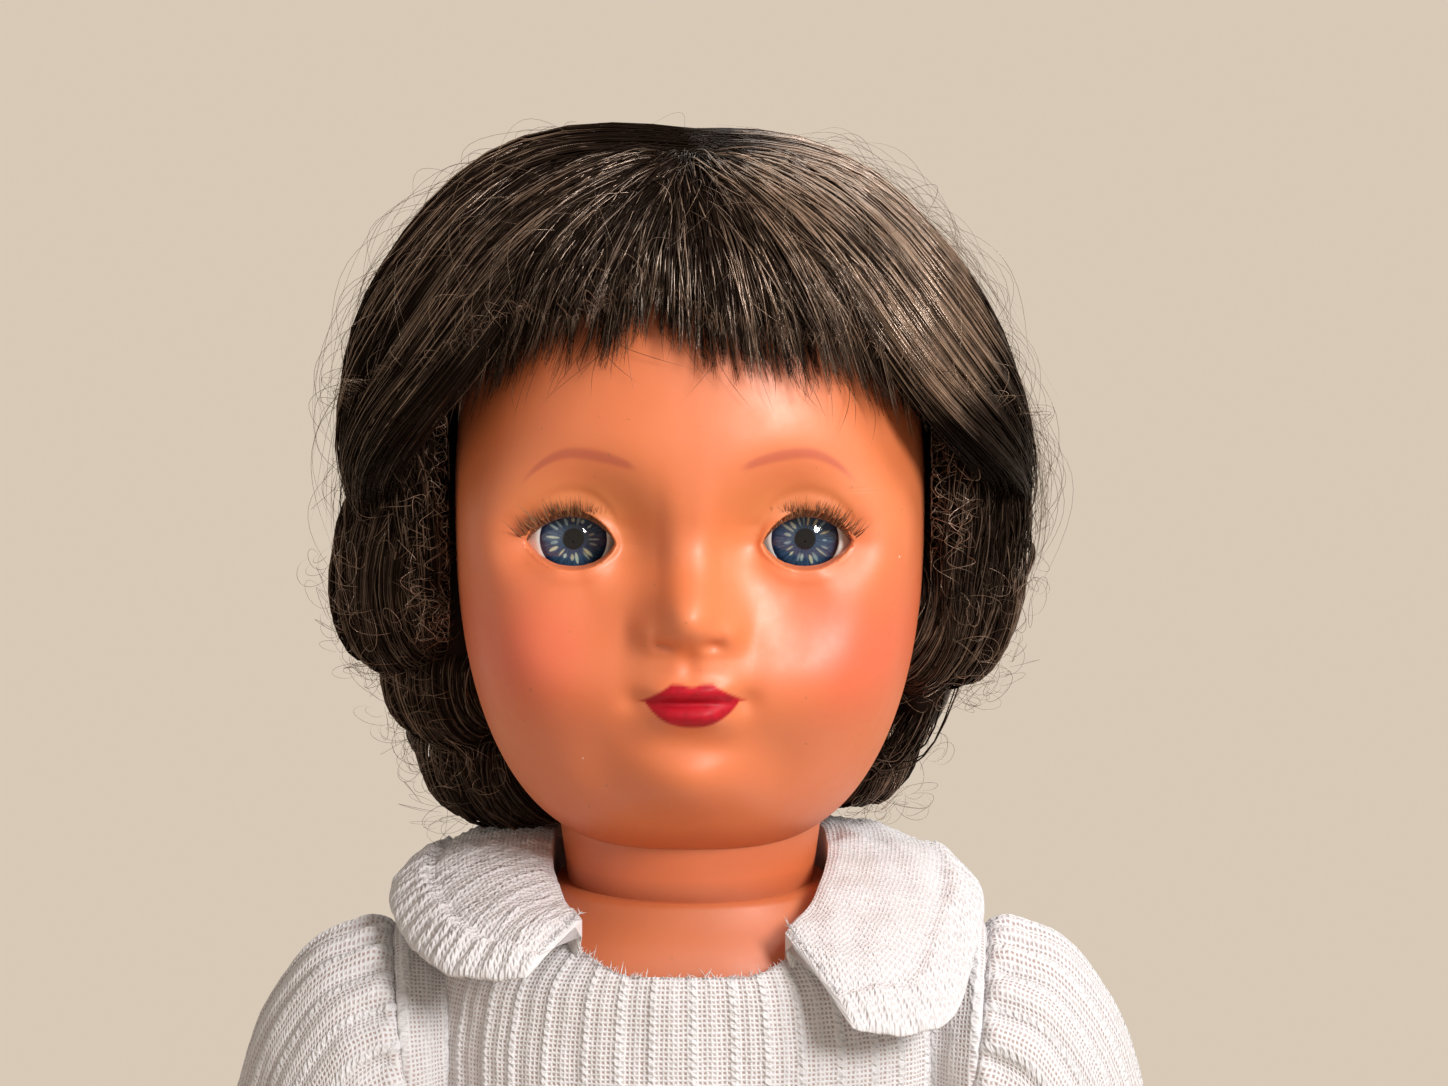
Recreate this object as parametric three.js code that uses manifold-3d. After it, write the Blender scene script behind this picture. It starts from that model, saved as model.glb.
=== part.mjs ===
// A strung play doll with sleep eyes, a wig and a ribbed cotton dress.
// Millimetres, +Z up, the doll faces -Y and stands on its soles; +X is the doll's own left.
import * as THREE from 'three';
import { mergeVertices } from 'three/addons/utils/BufferGeometryUtils.js';
import Module from 'manifold-3d';

const wasm = await Module();
wasm.setup();

// Lengths from the soles up, each starting where the last one ends.
const ANKLE_HEIGHT = 30;
const SHANK_LENGTH = 78;
const THIGH_LENGTH = 104;
const WAIST_RISE = 56;
const CHEST_RISE = 88;
const NECK_RISE = 27;
const NECK_SHOWS = 6;
const HEAD_HEIGHT = 104;
const SKIRT_LENGTH = 128;

// Heights above the soles.
const KNEE_HEIGHT = ANKLE_HEIGHT + SHANK_LENGTH;
const HIP_HEIGHT = KNEE_HEIGHT + THIGH_LENGTH;
const WAIST_HEIGHT = HIP_HEIGHT + WAIST_RISE;
const HEM_HEIGHT = WAIST_HEIGHT - SKIRT_LENGTH;
const SHOULDER_HEIGHT = WAIST_HEIGHT + CHEST_RISE;
const NECK_RING_HEIGHT = SHOULDER_HEIGHT + NECK_RISE;
const CHIN_HEIGHT = NECK_RING_HEIGHT + NECK_SHOWS;
const HEAD_TOP = CHIN_HEIGHT + HEAD_HEIGHT;
const HEAD_MIDDLE = CHIN_HEIGHT + 0.5193 * HEAD_HEIGHT;
const EYE_HEIGHT = CHIN_HEIGHT + 0.5 * HEAD_HEIGHT;
const NOSE_HEIGHT = CHIN_HEIGHT + 0.426 * HEAD_HEIGHT;
const MOUTH_HEIGHT = CHIN_HEIGHT + 0.2837 * HEAD_HEIGHT;
const PATE_HEIGHT = CHIN_HEIGHT + 0.817 * HEAD_HEIGHT;

// Head, measured from its own middle.
const HEAD_HALF_WIDTH = 36;
const FACE_DEPTH = 39;
const BACK_DEPTH = 44;
const HEAD_Y = 2;
const NAPE_DROP = 0.3555 * HEAD_HEIGHT;
const HEAD_WALL = 1.8;
const NOSE_PROJECTION = 6.3;
const BRIDGE_PROJECTION = 2.6;
const NOSE_LENGTH = 18;

// Eyes.
const EYE_SPREAD = 0.48 * HEAD_HALF_WIDTH;
const EYE_Y = HEAD_Y + 19.3 - FACE_DEPTH;
const EYE_RADIUS = 9.5;
const IRIS_RADIUS = 5;
const OPENING_HALF_WIDTH = 7.25;
const OPENING_UP = 3.9;
const OPENING_DOWN = 3.8;
const RIM_THICKNESS = 1.3;
const LID_THICKNESS = 0.5;
const LID_SHOWS = 1.7;
const AXLE_RADIUS = 1.2;
const WEIGHT_DROP = 25;
const WEIGHT_RADIUS = 6.5;

// Neck and torso.
const NECK_Y = 3;
const NECK_RADIUS = 19;
const SOCKET_DEPTH = 10.4;
const TORSO_WALL = 1.8;
const SHOULDER_HALF_WIDTH = 40;
const WAIST_HALF_WIDTH = 36;
const HIP_HALF_WIDTH = 41;
const CROTCH_HALF_WIDTH = 15;

// Arms and legs.
const SHOULDER_X = 52;
const SHOULDER_Y = -1.5;
const SHOULDER_BALL = 12.5;
const ARM_SPREAD = 12 * Math.PI / 180;
const ARM_LENGTH = 121;
const ARM_HOLE = 4.2;
const HIP_Y = 2;
const HIP_DISC = 24;
const LEG_X = 23;
const LEG_OUTER = LEG_X + 20;
const LEG_WALL = 2.2;
const FOOT_FRONT = -38;
const HEEL_BACK = 24;

// Stringing.
const CORD_RADIUS = 1.3;
const PIN_RADIUS = 1.2;
const HOOK_RADIUS = 1.2;

// Clothes and hair.
const CLOTH = 1.9;
const SLEEVE_CLOTH = 1.2;
const SLEEVE_RISE = 20;
const SKIRT_CLOTH = 1.4;
const COLLAR_PUFF = 1.6;
const SKIRT_HALF_WIDTH = 66;
const SKIRT_FOLDS = 8;
const FOLD_DEPTH = 4;
const HAIR_TOP = 7;
const HAIR_SIDE = 18;
const HAIR_BACK = 9;
const LINING = 0.8;
const WIG_GAP = 1;

// Clearances.
const GAP = 0.3;
const RUN = 0.4;

// Facets flatter than this are joined.
const FACET = 0.08;

const SKIN = [0xe39160, 0.38, 0];
const HAIR = [0x2b201d, 0.6, 0];
const COTTON = [0xefeae4, 0.9, 0];
const STEEL = [0x9b9b98, 0.35, 1];
const ELASTIC = [0xd9d1c2, 0.8, 0];

const TAU = 2 * Math.PI;
const vec = (x, y, z) => new THREE.Vector3(x, y, z);
const mix = (a, b, t) => a + (b - a) * t;
const ease = (a, b, v) => THREE.MathUtils.smoothstep(v, Math.min(a, b), Math.max(a, b));

// Turns a closed geometry into a solid that booleans can work on.
function solid(geometry) {
  const plain = geometry.clone();
  plain.deleteAttribute('normal');
  plain.deleteAttribute('uv');
  const merged = mergeVertices(plain, 1e-4);
  const vertProperties = new Float32Array(merged.attributes.position.array);
  const triVerts = new Uint32Array(merged.index.array);
  return new wasm.Manifold(new wasm.Mesh({ numProp: 3, vertProperties, triVerts }));
}

// The main body of a cut form, without the slivers that a cut may leave.
function mainBody(body) {
  return body.decompose().reduce((best, one) => (one.volume() > best.volume() ? one : best));
}

function geometryOf(body) {
  const mesh = mainBody(body.simplify(FACET)).getMesh();
  const geometry = new THREE.BufferGeometry();
  const points = new Float32Array(mesh.numVert * 3);
  for (let i = 0; i < mesh.numVert; i += 1) {
    for (let k = 0; k < 3; k += 1) points[3 * i + k] = mesh.vertProperties[mesh.numProp * i + k];
  }
  geometry.setAttribute('position', new THREE.BufferAttribute(points, 3));
  geometry.setIndex(new THREE.BufferAttribute(new Uint32Array(mesh.triVerts), 1));
  geometry.computeVertexNormals();
  return geometry;
}

function facesOut(points, index) {
  let volume = 0;
  const cross = vec(0, 0, 0);
  for (let i = 0; i < index.length; i += 3) {
    cross.crossVectors(points[index[i + 1]], points[index[i + 2]]);
    volume += points[index[i]].dot(cross);
  }
  if (volume < 0) index.reverse();
  const geometry = new THREE.BufferGeometry().setFromPoints(points);
  geometry.setIndex(index);
  return geometry;
}

// Skins a row of rings that all have the same number of points. The ends are closed with fans, or
// the last ring is joined to the first, or each end of a folded band is closed across its two walls.
function loft(rings, looped = false, band = false) {
  const count = rings[0].length;
  const points = rings.flat();
  const index = [];
  const last = looped ? rings.length : rings.length - 1;
  for (let r = 0; r < last; r += 1) {
    const low = r * count;
    const high = ((r + 1) % rings.length) * count;
    for (let i = 0; i < count; i += 1) {
      const j = (i + 1) % count;
      index.push(low + i, low + j, high + j, low + i, high + j, high + i);
    }
  }
  if (band) {
    const end = (rings.length - 1) * count;
    for (let i = 0; i < count / 2 - 1; i += 1) {
      const [a, b, c, d] = [i, i + 1, count - 2 - i, count - 1 - i];
      index.push(a, d, c, a, c, b, end + a, end + b, end + c, end + a, end + c, end + d);
    }
  } else if (!looped) {
    const middle = (ring) => ring.reduce((sum, p) => sum.add(p), vec(0, 0, 0)).divideScalar(count);
    points.push(middle(rings[0]), middle(rings.at(-1)));
    const end = (rings.length - 1) * count;
    for (let i = 0; i < count; i += 1) {
      const j = (i + 1) % count;
      index.push(points.length - 2, j, i, points.length - 1, end + i, end + j);
    }
  }
  return facesOut(points, index);
}

// A flat oval ring at height z, with its own depth to the front and to the back.
function oval(z, halfWidth, front, back, count, centreX = 0, centreY = 0, power = 2.2) {
  return Array.from({ length: count }, (_, i) => {
    const turn = TAU * i / count;
    const c = Math.cos(turn);
    const s = Math.sin(turn);
    const depth = s < 0 ? front : back;
    const x = Math.sign(c) * Math.abs(c) ** (2 / power) * halfWidth;
    const y = Math.sign(s) * Math.abs(s) ** (2 / power) * depth;
    return vec(centreX + x, centreY + y, z);
  });
}

function turned(profile, sides) {
  const points = profile.map(([r, z]) => new THREE.Vector2(r, z));
  const lathe = new THREE.LatheGeometry(points, sides);
  lathe.rotateX(Math.PI / 2);
  const plain = lathe.clone();
  plain.deleteAttribute('normal');
  plain.deleteAttribute('uv');
  const merged = mergeVertices(plain, 1e-4);
  const at = merged.attributes.position;
  const corners = Array.from({ length: at.count }, (_, i) => vec(at.getX(i), at.getY(i), at.getZ(i)));
  const index = Array.from(merged.index.array);
  const kept = [];
  for (let i = 0; i < index.length; i += 3) {
    const [a, b, c] = index.slice(i, i + 3);
    if (a !== b && b !== c && a !== c) kept.push(a, b, c);
  }
  return facesOut(corners, kept);
}

const block = (w, d, h, x, y, z) => solid(new THREE.BoxGeometry(w, d, h).translate(x, y, z));
const ball = (r, x, y, z, sides = 20) => solid(new THREE.SphereGeometry(r, sides, Math.round(sides * 0.7))
  .translate(x, y, z));

// A round bar along X, Y or Z, centred on a point.
function bar(axis, radius, length, x, y, z, sides = 16) {
  const geometry = new THREE.CylinderGeometry(radius, radius, length, sides);
  if (axis === 'x') geometry.rotateZ(Math.PI / 2);
  if (axis === 'z') geometry.rotateX(Math.PI / 2);
  return solid(geometry.translate(x, y, z));
}

// A cord or wire that follows a smooth line through the given points.
function cord(points, radius, steps, sides = 8) {
  const section = new THREE.Shape();
  for (let i = 0; i < sides; i += 1) {
    const turn = TAU * i / sides;
    const to = i ? 'lineTo' : 'moveTo';
    section[to](radius * Math.cos(turn), radius * Math.sin(turn));
  }
  const path = new THREE.CatmullRomCurve3(points, false, 'centripetal');
  return solid(new THREE.ExtrudeGeometry(section, { steps, extrudePath: path, bevelEnabled: false }));
}

const doll = new THREE.Group();
doll.name = 'doll';

function group(name, parent = doll) {
  const made = new THREE.Group();
  made.name = name;
  parent.add(made);
  return made;
}

function piece(name, body, [color, roughness, metalness], parent) {
  const material = new THREE.MeshStandardMaterial({ color, roughness, metalness });
  const mesh = new THREE.Mesh(body.isBufferGeometry ? body : geometryOf(body), material);
  mesh.name = name;
  parent.add(mesh);
  return mesh;
}

const torsoGroup = group('torso_group');
const headGroup = group('head_group', torsoGroup);
const eyeGroup = group('eye_group', headGroup);
const dressGroup = group('dress_group', torsoGroup);

// The bare head is a rounded form seen from its middle: a direction gives a distance.
function headDistance(d) {
  const flat = Math.hypot(d.x, d.y) || 1e-9;
  const frontness = ease(-0.45, 0.45, -d.y / flat);
  const depth = d.y < 0 ? FACE_DEPTH : BACK_DEPTH;
  const fall = mix(NAPE_DROP, HEAD_MIDDLE - CHIN_HEIGHT, frontness);
  const rise = d.z < 0 ? fall : HEAD_TOP - HEAD_MIDDLE;
  const power = d.z < 0 ? mix(2.4, 2.7, frontness) : 2.3;
  const level = (Math.abs(d.x / HEAD_HALF_WIDTH) ** 2.25 + Math.abs(d.y / depth) ** 2.25) ** (1 / 2.25);
  return 1 / (level ** power + Math.abs(d.z / rise) ** power) ** (1 / power);
}

const hump = (x, z, cx, cz, sx, sz) => Math.exp(-(((x - cx) / sx) ** 2) - ((z - cz) / sz) ** 2);

// How far the face stands out from the plain head form: nose, lips, chin, cheeks and brow.
function relief(x, z) {
  const u = Math.abs(x);
  let out = NOSE_PROJECTION * hump(x, z, 0, NOSE_HEIGHT, 5.4, z < NOSE_HEIGHT ? 3.7 : 4.5);
  out += BRIDGE_PROJECTION * hump(x, z, 0, NOSE_HEIGHT + 4, 4.6, NOSE_LENGTH / 2);
  out += 3.4 * hump(u, z, 6.3, NOSE_HEIGHT - 3.2, 2.5, 2.4);
  out += 3.0 * hump(x, z, 0, MOUTH_HEIGHT + 1, 12, 9);
  out += 1.5 * Math.exp(-(((z - MOUTH_HEIGHT - 1.9) / 1.5) ** 2) - (x / 5.8) ** 4);
  out += 1.9 * Math.exp(-(((z - MOUTH_HEIGHT + 2.2) / 1.7) ** 2) - (x / 5) ** 4);
  out -= 0.9 * hump(u, z, 8.4, MOUTH_HEIGHT, 2, 2);
  out -= 1.3 * hump(x, z, 0, MOUTH_HEIGHT - 7, 7, 2.6);
  out += 4.4 * hump(x, z, 0, MOUTH_HEIGHT - 13.5, 8.6, 6.0);
  out += 3.7 * hump(u, z, 20.5, MOUTH_HEIGHT + 4.5, 11.5, 11.5);
  out -= 1.0 * hump(u, z, 13, MOUTH_HEIGHT - 10, 4.5, 6);
  out += 0.9 * hump(u, z, EYE_SPREAD, EYE_HEIGHT + 14, 14, 4.5);
  return out;
}

// Round the eyes the face lies over the eyeball at an even thickness.
const LID_OUTSIDE = EYE_RADIUS + GAP + LID_THICKNESS;
const EYE_ROOM = LID_OUTSIDE + RUN;
function overEye(x, z, y, thickness) {
  const dx = Math.abs(x) - EYE_SPREAD;
  const dz = z - EYE_HEIGHT;
  const cover = EYE_ROOM + thickness;
  const over = EYE_Y - Math.sqrt(Math.max(4, cover ** 2 - dx ** 2 - dz ** 2));
  const weight = Math.exp(-((dx / 9.6) ** 4) - (dz / 7.2) ** 4);
  return mix(y, over, weight);
}

// The head's surface pushed out by grow; only the finished face takes the relief.
function headPoint(azimuth, elevation, grow, face) {
  const c = Math.cos(elevation);
  const d = vec(c * Math.sin(azimuth), -c * Math.cos(azimuth), Math.sin(elevation));
  const p = d.clone().multiplyScalar(headDistance(d) + grow).add(vec(0, HEAD_Y, HEAD_MIDDLE));
  if (!face) return p;
  const front = ease(0.12, 0.5, -d.y);
  const thickness = face === 'outside' ? RIM_THICKNESS : RIM_THICKNESS - HEAD_WALL;
  const y = face === 'outside' ? p.y - front * relief(p.x, p.z) : p.y;
  p.y = mix(p.y, overEye(p.x, p.z, y, thickness), front);
  return p;
}

// Columns crowd towards the face by the given share.
function headForm(grow, columns, elevations, face, crowd = 0) {
  const rings = elevations.map((elevation) => Array.from({ length: columns }, (_, i) => {
    const turn = TAU * i / columns;
    return headPoint(turn - crowd * Math.sin(turn), elevation * Math.PI / 180, grow, face);
  }));
  return solid(loft(rings));
}

function angles(...spans) {
  const list = [];
  for (const [from, to, count] of spans) {
    for (let i = 0; i < count; i += 1) list.push(mix(from, to, i / count));
  }
  list.push(spans.at(-1)[1]);
  return list;
}

const FACE_ROWS = angles([-82, -58, 2], [-58, 8, 14], [8, 82, 6]);
const PLAIN_ROWS = angles([-78, 80, 8]);

const NECK_TOP = HEAD_MIDDLE - NAPE_DROP + 4;
const neckOutside = (grow, drop) => [
  [0, NECK_TOP],
  [NECK_RADIUS + 2 + grow, NECK_TOP],
  [NECK_RADIUS + 0.7 + grow, NECK_RING_HEIGHT + 7],
  [NECK_RADIUS + grow, NECK_RING_HEIGHT + 1],
  [NECK_RADIUS - 0.5 + grow, NECK_RING_HEIGHT - 2 - 0.3 * drop],
  [NECK_RADIUS - 4.2 + 0.7 * grow, NECK_RING_HEIGHT - 7 - 0.8 * drop],
  [NECK_RADIUS - 10 + 0.5 * grow, NECK_RING_HEIGHT - SOCKET_DEPTH + 0.8 - drop],
  [0, NECK_RING_HEIGHT - SOCKET_DEPTH - drop],
];
const neckForm = (grow, drop, sides) => solid(turned(neckOutside(grow, drop), sides).translate(0, NECK_Y, 0));

const headInside = headForm(-HEAD_WALL, 18, PLAIN_ROWS, 'inside');
const neckInside = neckForm(-HEAD_WALL, -HEAD_WALL, 14);
const HOOK_HOLE = 4;
let headSolid = headForm(0, 34, FACE_ROWS, 'outside', 0.5).add(neckForm(0, 0, 18));
headSolid = headSolid.subtract(headInside.add(neckInside));
headSolid = headSolid.subtract(bar('z', HOOK_HOLE, 12, 0, NECK_Y, NECK_RING_HEIGHT - SOCKET_DEPTH));

// The almond outline of an eye opening: heights above and below the eye's middle line.
const almond = (x) => Math.max(0, 1 - (x / OPENING_HALF_WIDTH) ** 2);
const upperRim = (x) => OPENING_UP * almond(x) ** 0.72;
const lowerRim = (x) => -OPENING_DOWN * almond(x) ** 0.66;

// A prism along Y, in front of the eye's middle, with the given outline in X and Z.
function eyePrism(outline, side) {
  const form = new THREE.Shape(outline.map(([x, z]) => new THREE.Vector2(x, z)));
  const prism = new THREE.ExtrudeGeometry(form, { depth: 30, bevelEnabled: false });
  prism.rotateX(Math.PI / 2);
  return solid(prism.translate(side * EYE_SPREAD, EYE_Y, EYE_HEIGHT));
}

const STATIONS = Array.from({ length: 11 }, (_, i) => mix(-1, 1, i / 10) * OPENING_HALF_WIDTH);
const LASH_STATIONS = STATIONS.filter((x) => Math.abs(x) < 0.45 * OPENING_HALF_WIDTH);
const openingOutline = [
  ...STATIONS.map((x) => [x, lowerRim(x)]),
  ...STATIONS.slice(1, -1).reverse().map((x) => [x, upperRim(x)]),
];
for (const side of [-1, 1]) {
  headSolid = headSolid.subtract(eyePrism(openingOutline, side));
  headSolid = headSolid.subtract(ball(EYE_ROOM, side * EYE_SPREAD, EYE_Y, EYE_HEIGHT, 14));
}
const above = (z, size = 300) => block(size, size, size, 0, 0, z + size / 2);
piece('head_shell', headSolid.subtract(above(PATE_HEIGHT)), SKIN, headGroup);
piece('crown_pate', headSolid.intersect(above(PATE_HEIGHT + GAP)), [0xc9b089, 0.85, 0], headGroup);

// Sleep eyes, each a ball with an iris, a clear cornea, a lid and lashes.
for (const [name, side] of [['right', -1], ['left', 1]]) {
  const x = side * EYE_SPREAD;
  const irisRoom = IRIS_RADIUS + 0.15;
  const irisPlane = Math.sqrt(EYE_RADIUS ** 2 - irisRoom ** 2);
  const bore = bar('x', AXLE_RADIUS + GAP, 3 * EYE_RADIUS, x, EYE_Y, EYE_HEIGHT, 8);
  const pocket = bar('y', irisRoom, 6, x, EYE_Y - irisPlane + 0.9 - 3, EYE_HEIGHT, 16);
  const white = ball(EYE_RADIUS, x, EYE_Y, EYE_HEIGHT, 12).subtract(pocket).subtract(bore);
  piece(`eyeball_${name}`, white, [0xf1efe9, 0.2, 0], eyeGroup);

  const irisY = EYE_Y - irisPlane + 0.9 - GAP - 0.25;
  piece(`iris_${name}`, bar('y', IRIS_RADIUS, 0.5, x, irisY, EYE_HEIGHT, 16), [0x5f90c2, 0.25, 0], eyeGroup);

  const lens = ball(EYE_RADIUS - 0.05, x, EYE_Y, EYE_HEIGHT, 18);
  const lensFront = block(30, 30, 30, x, irisY - 0.25 - GAP - 15, EYE_HEIGHT);
  const lensEdge = bar('y', irisRoom - 0.25, 30, x, EYE_Y - 15, EYE_HEIGHT, 16);
  piece(`cornea_${name}`, lens.intersect(lensFront).intersect(lensEdge), [0xe8f2f6, 0.05, 0], eyeGroup);

  // The lid is a thin ball-shaped hood whose lower edge follows the opening.
  const lidInside = EYE_RADIUS + GAP;
  const edge = STATIONS.map((s) => [s * 1.5, upperRim(s) - LID_SHOWS]);
  const belowEdge = eyePrism([[-14, -14], [14, -14], ...edge.reverse()], side);
  const eyeBall = (radius) => ball(radius, x, EYE_Y, EYE_HEIGHT, 12);
  const hood = eyeBall(LID_OUTSIDE).subtract(eyeBall(lidInside));
  const behind = block(40, 40, 40, x, EYE_Y + 20 - 0.01, EYE_HEIGHT - 20 + 3.5);
  const lid = hood.subtract(belowEdge).subtract(behind)
    .subtract(bar('x', 3.4, 40, x, EYE_Y, EYE_HEIGHT, 10));
  piece(`eyelid_${name}`, lid, [0xd98c68, 0.4, 0], eyeGroup);

  // Lashes stand on a thin strip just in front of the lid's edge.
  const strand = (s, out) => {
    const z = upperRim(s) - 0.7;
    const reach = LID_OUTSIDE + GAP + 0.3;
    const y = -Math.sqrt(reach ** 2 - s ** 2 - z ** 2);
    return vec(x + s * (1 + 0.05 * out), EYE_Y + y - out, EYE_HEIGHT + z + 0.25 * out);
  };
  const rooted = LASH_STATIONS;
  let lashes = cord(rooted.map((s) => strand(s, 0)), 0.3, 6, 4);
  for (const s of rooted) {
    const root = strand(s, -0.2);
    const tip = strand(s, 4);
    const hair = new THREE.ConeGeometry(0.22, root.distanceTo(tip), 3);
    const along = tip.clone().sub(root).normalize();
    hair.applyQuaternion(new THREE.Quaternion().setFromUnitVectors(vec(0, 1, 0), along));
    hair.translate(...root.clone().add(tip).multiplyScalar(0.5).toArray());
    lashes = lashes.add(solid(hair));
  }
  piece(`lashes_${name}`, lashes, [0x4a3022, 0.7, 0], eyeGroup);

  // A bearing block fills the room between the axle's end and the head's wall.
  const bearing = block(20, 9, 9, side * (EYE_SPREAD + LID_OUTSIDE + 10), EYE_Y, EYE_HEIGHT);
  const room = headForm(-HEAD_WALL - GAP, 18, PLAIN_ROWS, 'inside')
    .subtract(ball(EYE_ROOM, x, EYE_Y, EYE_HEIGHT));
  const axleHole = bar('x', AXLE_RADIUS + GAP, 10, side * (EYE_SPREAD + EYE_RADIUS), EYE_Y, EYE_HEIGHT, 8);
  piece(`eye_bearing_${name}`, bearing.intersect(room).subtract(axleHole), [0xcdbf9f, 0.8, 0], headGroup);
}
// The half width of the head form, pushed out by grow, at a given depth and height.
function headHalfWidth(y, z, grow) {
  let [inside, outside] = [0, 2 * HEAD_HALF_WIDTH];
  for (let i = 0; i < 30; i += 1) {
    const d = vec((inside + outside) / 2, y - HEAD_Y, z - HEAD_MIDDLE);
    const within = d.length() < headDistance(d.clone().normalize()) + grow;
    if (within) inside = d.x;
    else outside = d.x;
  }
  return inside;
}
const axleLength = 2 * (headHalfWidth(EYE_Y, EYE_HEIGHT, -HEAD_WALL) - 2);
const stemLength = WEIGHT_DROP - 1;
const stem = bar('z', AXLE_RADIUS, stemLength, 0, EYE_Y, EYE_HEIGHT - stemLength / 2, 8);
const axle = bar('x', AXLE_RADIUS, axleLength, 0, EYE_Y, EYE_HEIGHT, 8).add(stem);
piece('eye_axle', axle, STEEL, eyeGroup);
const weightZ = EYE_HEIGHT - WEIGHT_DROP;
const weightHole = bar('z', AXLE_RADIUS + GAP, 2 * WEIGHT_RADIUS, 0, EYE_Y, weightZ + WEIGHT_RADIUS, 8);
const weight = ball(WEIGHT_RADIUS, 0, EYE_Y, weightZ, 10);
piece('eye_weight', weight.subtract(weightHole), [0x6d6f73, 0.6, 1], eyeGroup);

// Hair thickness over the head: thin on top, full at the sides.
function hairDepth(d) {
  const level = Math.hypot(d.x, d.y) || 1e-9;
  const sideways = (Math.abs(d.x) / level) ** 2 * (1 - Math.max(0, d.z) ** 1.6);
  const rear = Math.max(0, d.y / level) * (1 - Math.max(0, d.z));
  return HAIR_TOP + (HAIR_SIDE - HAIR_TOP) * sideways + (HAIR_BACK - HAIR_TOP) * rear;
}
function hairForm(columns, elevations) {
  const rings = elevations.map((elevation) => Array.from({ length: columns }, (_, i) => {
    const a = TAU * i / columns;
    const e = elevation * Math.PI / 180;
    const d = vec(Math.cos(e) * Math.sin(a), -Math.cos(e) * Math.cos(a), Math.sin(e));
    return d.clone().multiplyScalar(headDistance(d) + hairDepth(d)).add(vec(0, HEAD_Y, HEAD_MIDDLE));
  }));
  return solid(loft(rings));
}

// The window of the face: hair in front of the ears only hangs down to the fringe line.
const fringe = (x) => EYE_HEIGHT + 29 - 16 * Math.abs(x / HEAD_HALF_WIDTH) ** 2.6;
function faceWindow(back, lift) {
  const across = Array.from({ length: 9 }, (_, i) => mix(-1, 1, i / 8) * (HEAD_HALF_WIDTH + 1));
  const wide = HEAD_HALF_WIDTH + 34;
  const low = CHIN_HEIGHT - 60;
  const temple = fringe(HEAD_HALF_WIDTH) + lift;
  const edge = across.map((x) => [x, fringe(x) + lift]).reverse();
  const outline = [[-wide, low], [wide, low], [wide, temple], ...edge, [-wide, temple]];
  const form = new THREE.Shape(outline.map(([x, z]) => new THREE.Vector2(x, z)));
  const prism = new THREE.ExtrudeGeometry(form, { depth: 90, bevelEnabled: false });
  prism.rotateX(Math.PI / 2);
  return solid(prism.translate(0, back, 0));
}

// Everything below a slope that falls from the ears to the nape.
const SLOPE = 32 * Math.PI / 180;
const SLOPE_FRONT = EYE_HEIGHT + 6;
function underSlope(lift) {
  const under = new THREE.BoxGeometry(300, 300, 300).translate(0, 0, -150);
  under.rotateX(-SLOPE);
  return solid(under.translate(0, -4, SLOPE_FRONT + lift));
}
const HAIR_INSIDE = WIG_GAP + LINING + GAP;
const HAIR_ROWS = angles([-54, 82, 10]);
const LINING_ROWS = angles([-40, 80, 10]);
const headBulk = headForm(HAIR_INSIDE, 22, LINING_ROWS, '');
const crown = hairForm(26, HAIR_ROWS).subtract(headBulk).subtract(faceWindow(-8, 0)).subtract(underSlope(0));
piece('hair_crown', crown, HAIR, headGroup);
const lining = headForm(WIG_GAP + LINING, 22, LINING_ROWS, '')
  .subtract(headForm(WIG_GAP, 22, LINING_ROWS, '')).subtract(faceWindow(-8, 3)).subtract(underSlope(1));
piece('wig_lining', lining, [0x3a3230, 0.9, 0], headGroup);

// Rolled curls: [name, x, y, height, half width, half depth, half height].
const upFromChin = (share) => mix(CHIN_HEIGHT, EYE_HEIGHT, share);
const ROLLS = [
  ['curl_left_upper', HEAD_HALF_WIDTH + 6.5, HEAD_Y + 4, upFromChin(0.767), 11.5, 18, 20],
  ['curl_right_upper', -HEAD_HALF_WIDTH - 8, HEAD_Y + 4, upFromChin(0.848), 12, 18, 18],
  ['curl_right_middle', -HEAD_HALF_WIDTH - 4, HEAD_Y + 7, upFromChin(0.498), 11, 16, 12],
  ['curl_left_lower', HEAD_HALF_WIDTH - 5, HEAD_Y + 15, upFromChin(0.31), 10.5, 15, 14],
  ['curl_right_lower', 4 - HEAD_HALF_WIDTH, HEAD_Y + 13, upFromChin(0.27), 13, 15, 12.5],
  ['curl_nape', 0, BACK_DEPTH - 9, upFromChin(0.364), HEAD_HALF_WIDTH - 6, 14, 16],
];
let taken = underSlope(-GAP);
taken = block(300, 300, 300, 0, 0, HEAD_MIDDLE).subtract(taken);
const neckRoom = headForm(HAIR_INSIDE, 22, PLAIN_ROWS, '').add(headBulk).add(neckForm(2, 0, 12));
for (const [name, x, y, z, w, d, h] of ROLLS) {
  const form = (grow) => solid(new THREE.SphereGeometry(1, 10, 7).rotateX(Math.PI / 2)
    .scale(w + grow, d + grow, h + grow).translate(x, y, z));
  piece(name, form(0).subtract(neckRoom).subtract(taken), HAIR, headGroup);
  taken = taken.add(form(GAP));
}

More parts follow.
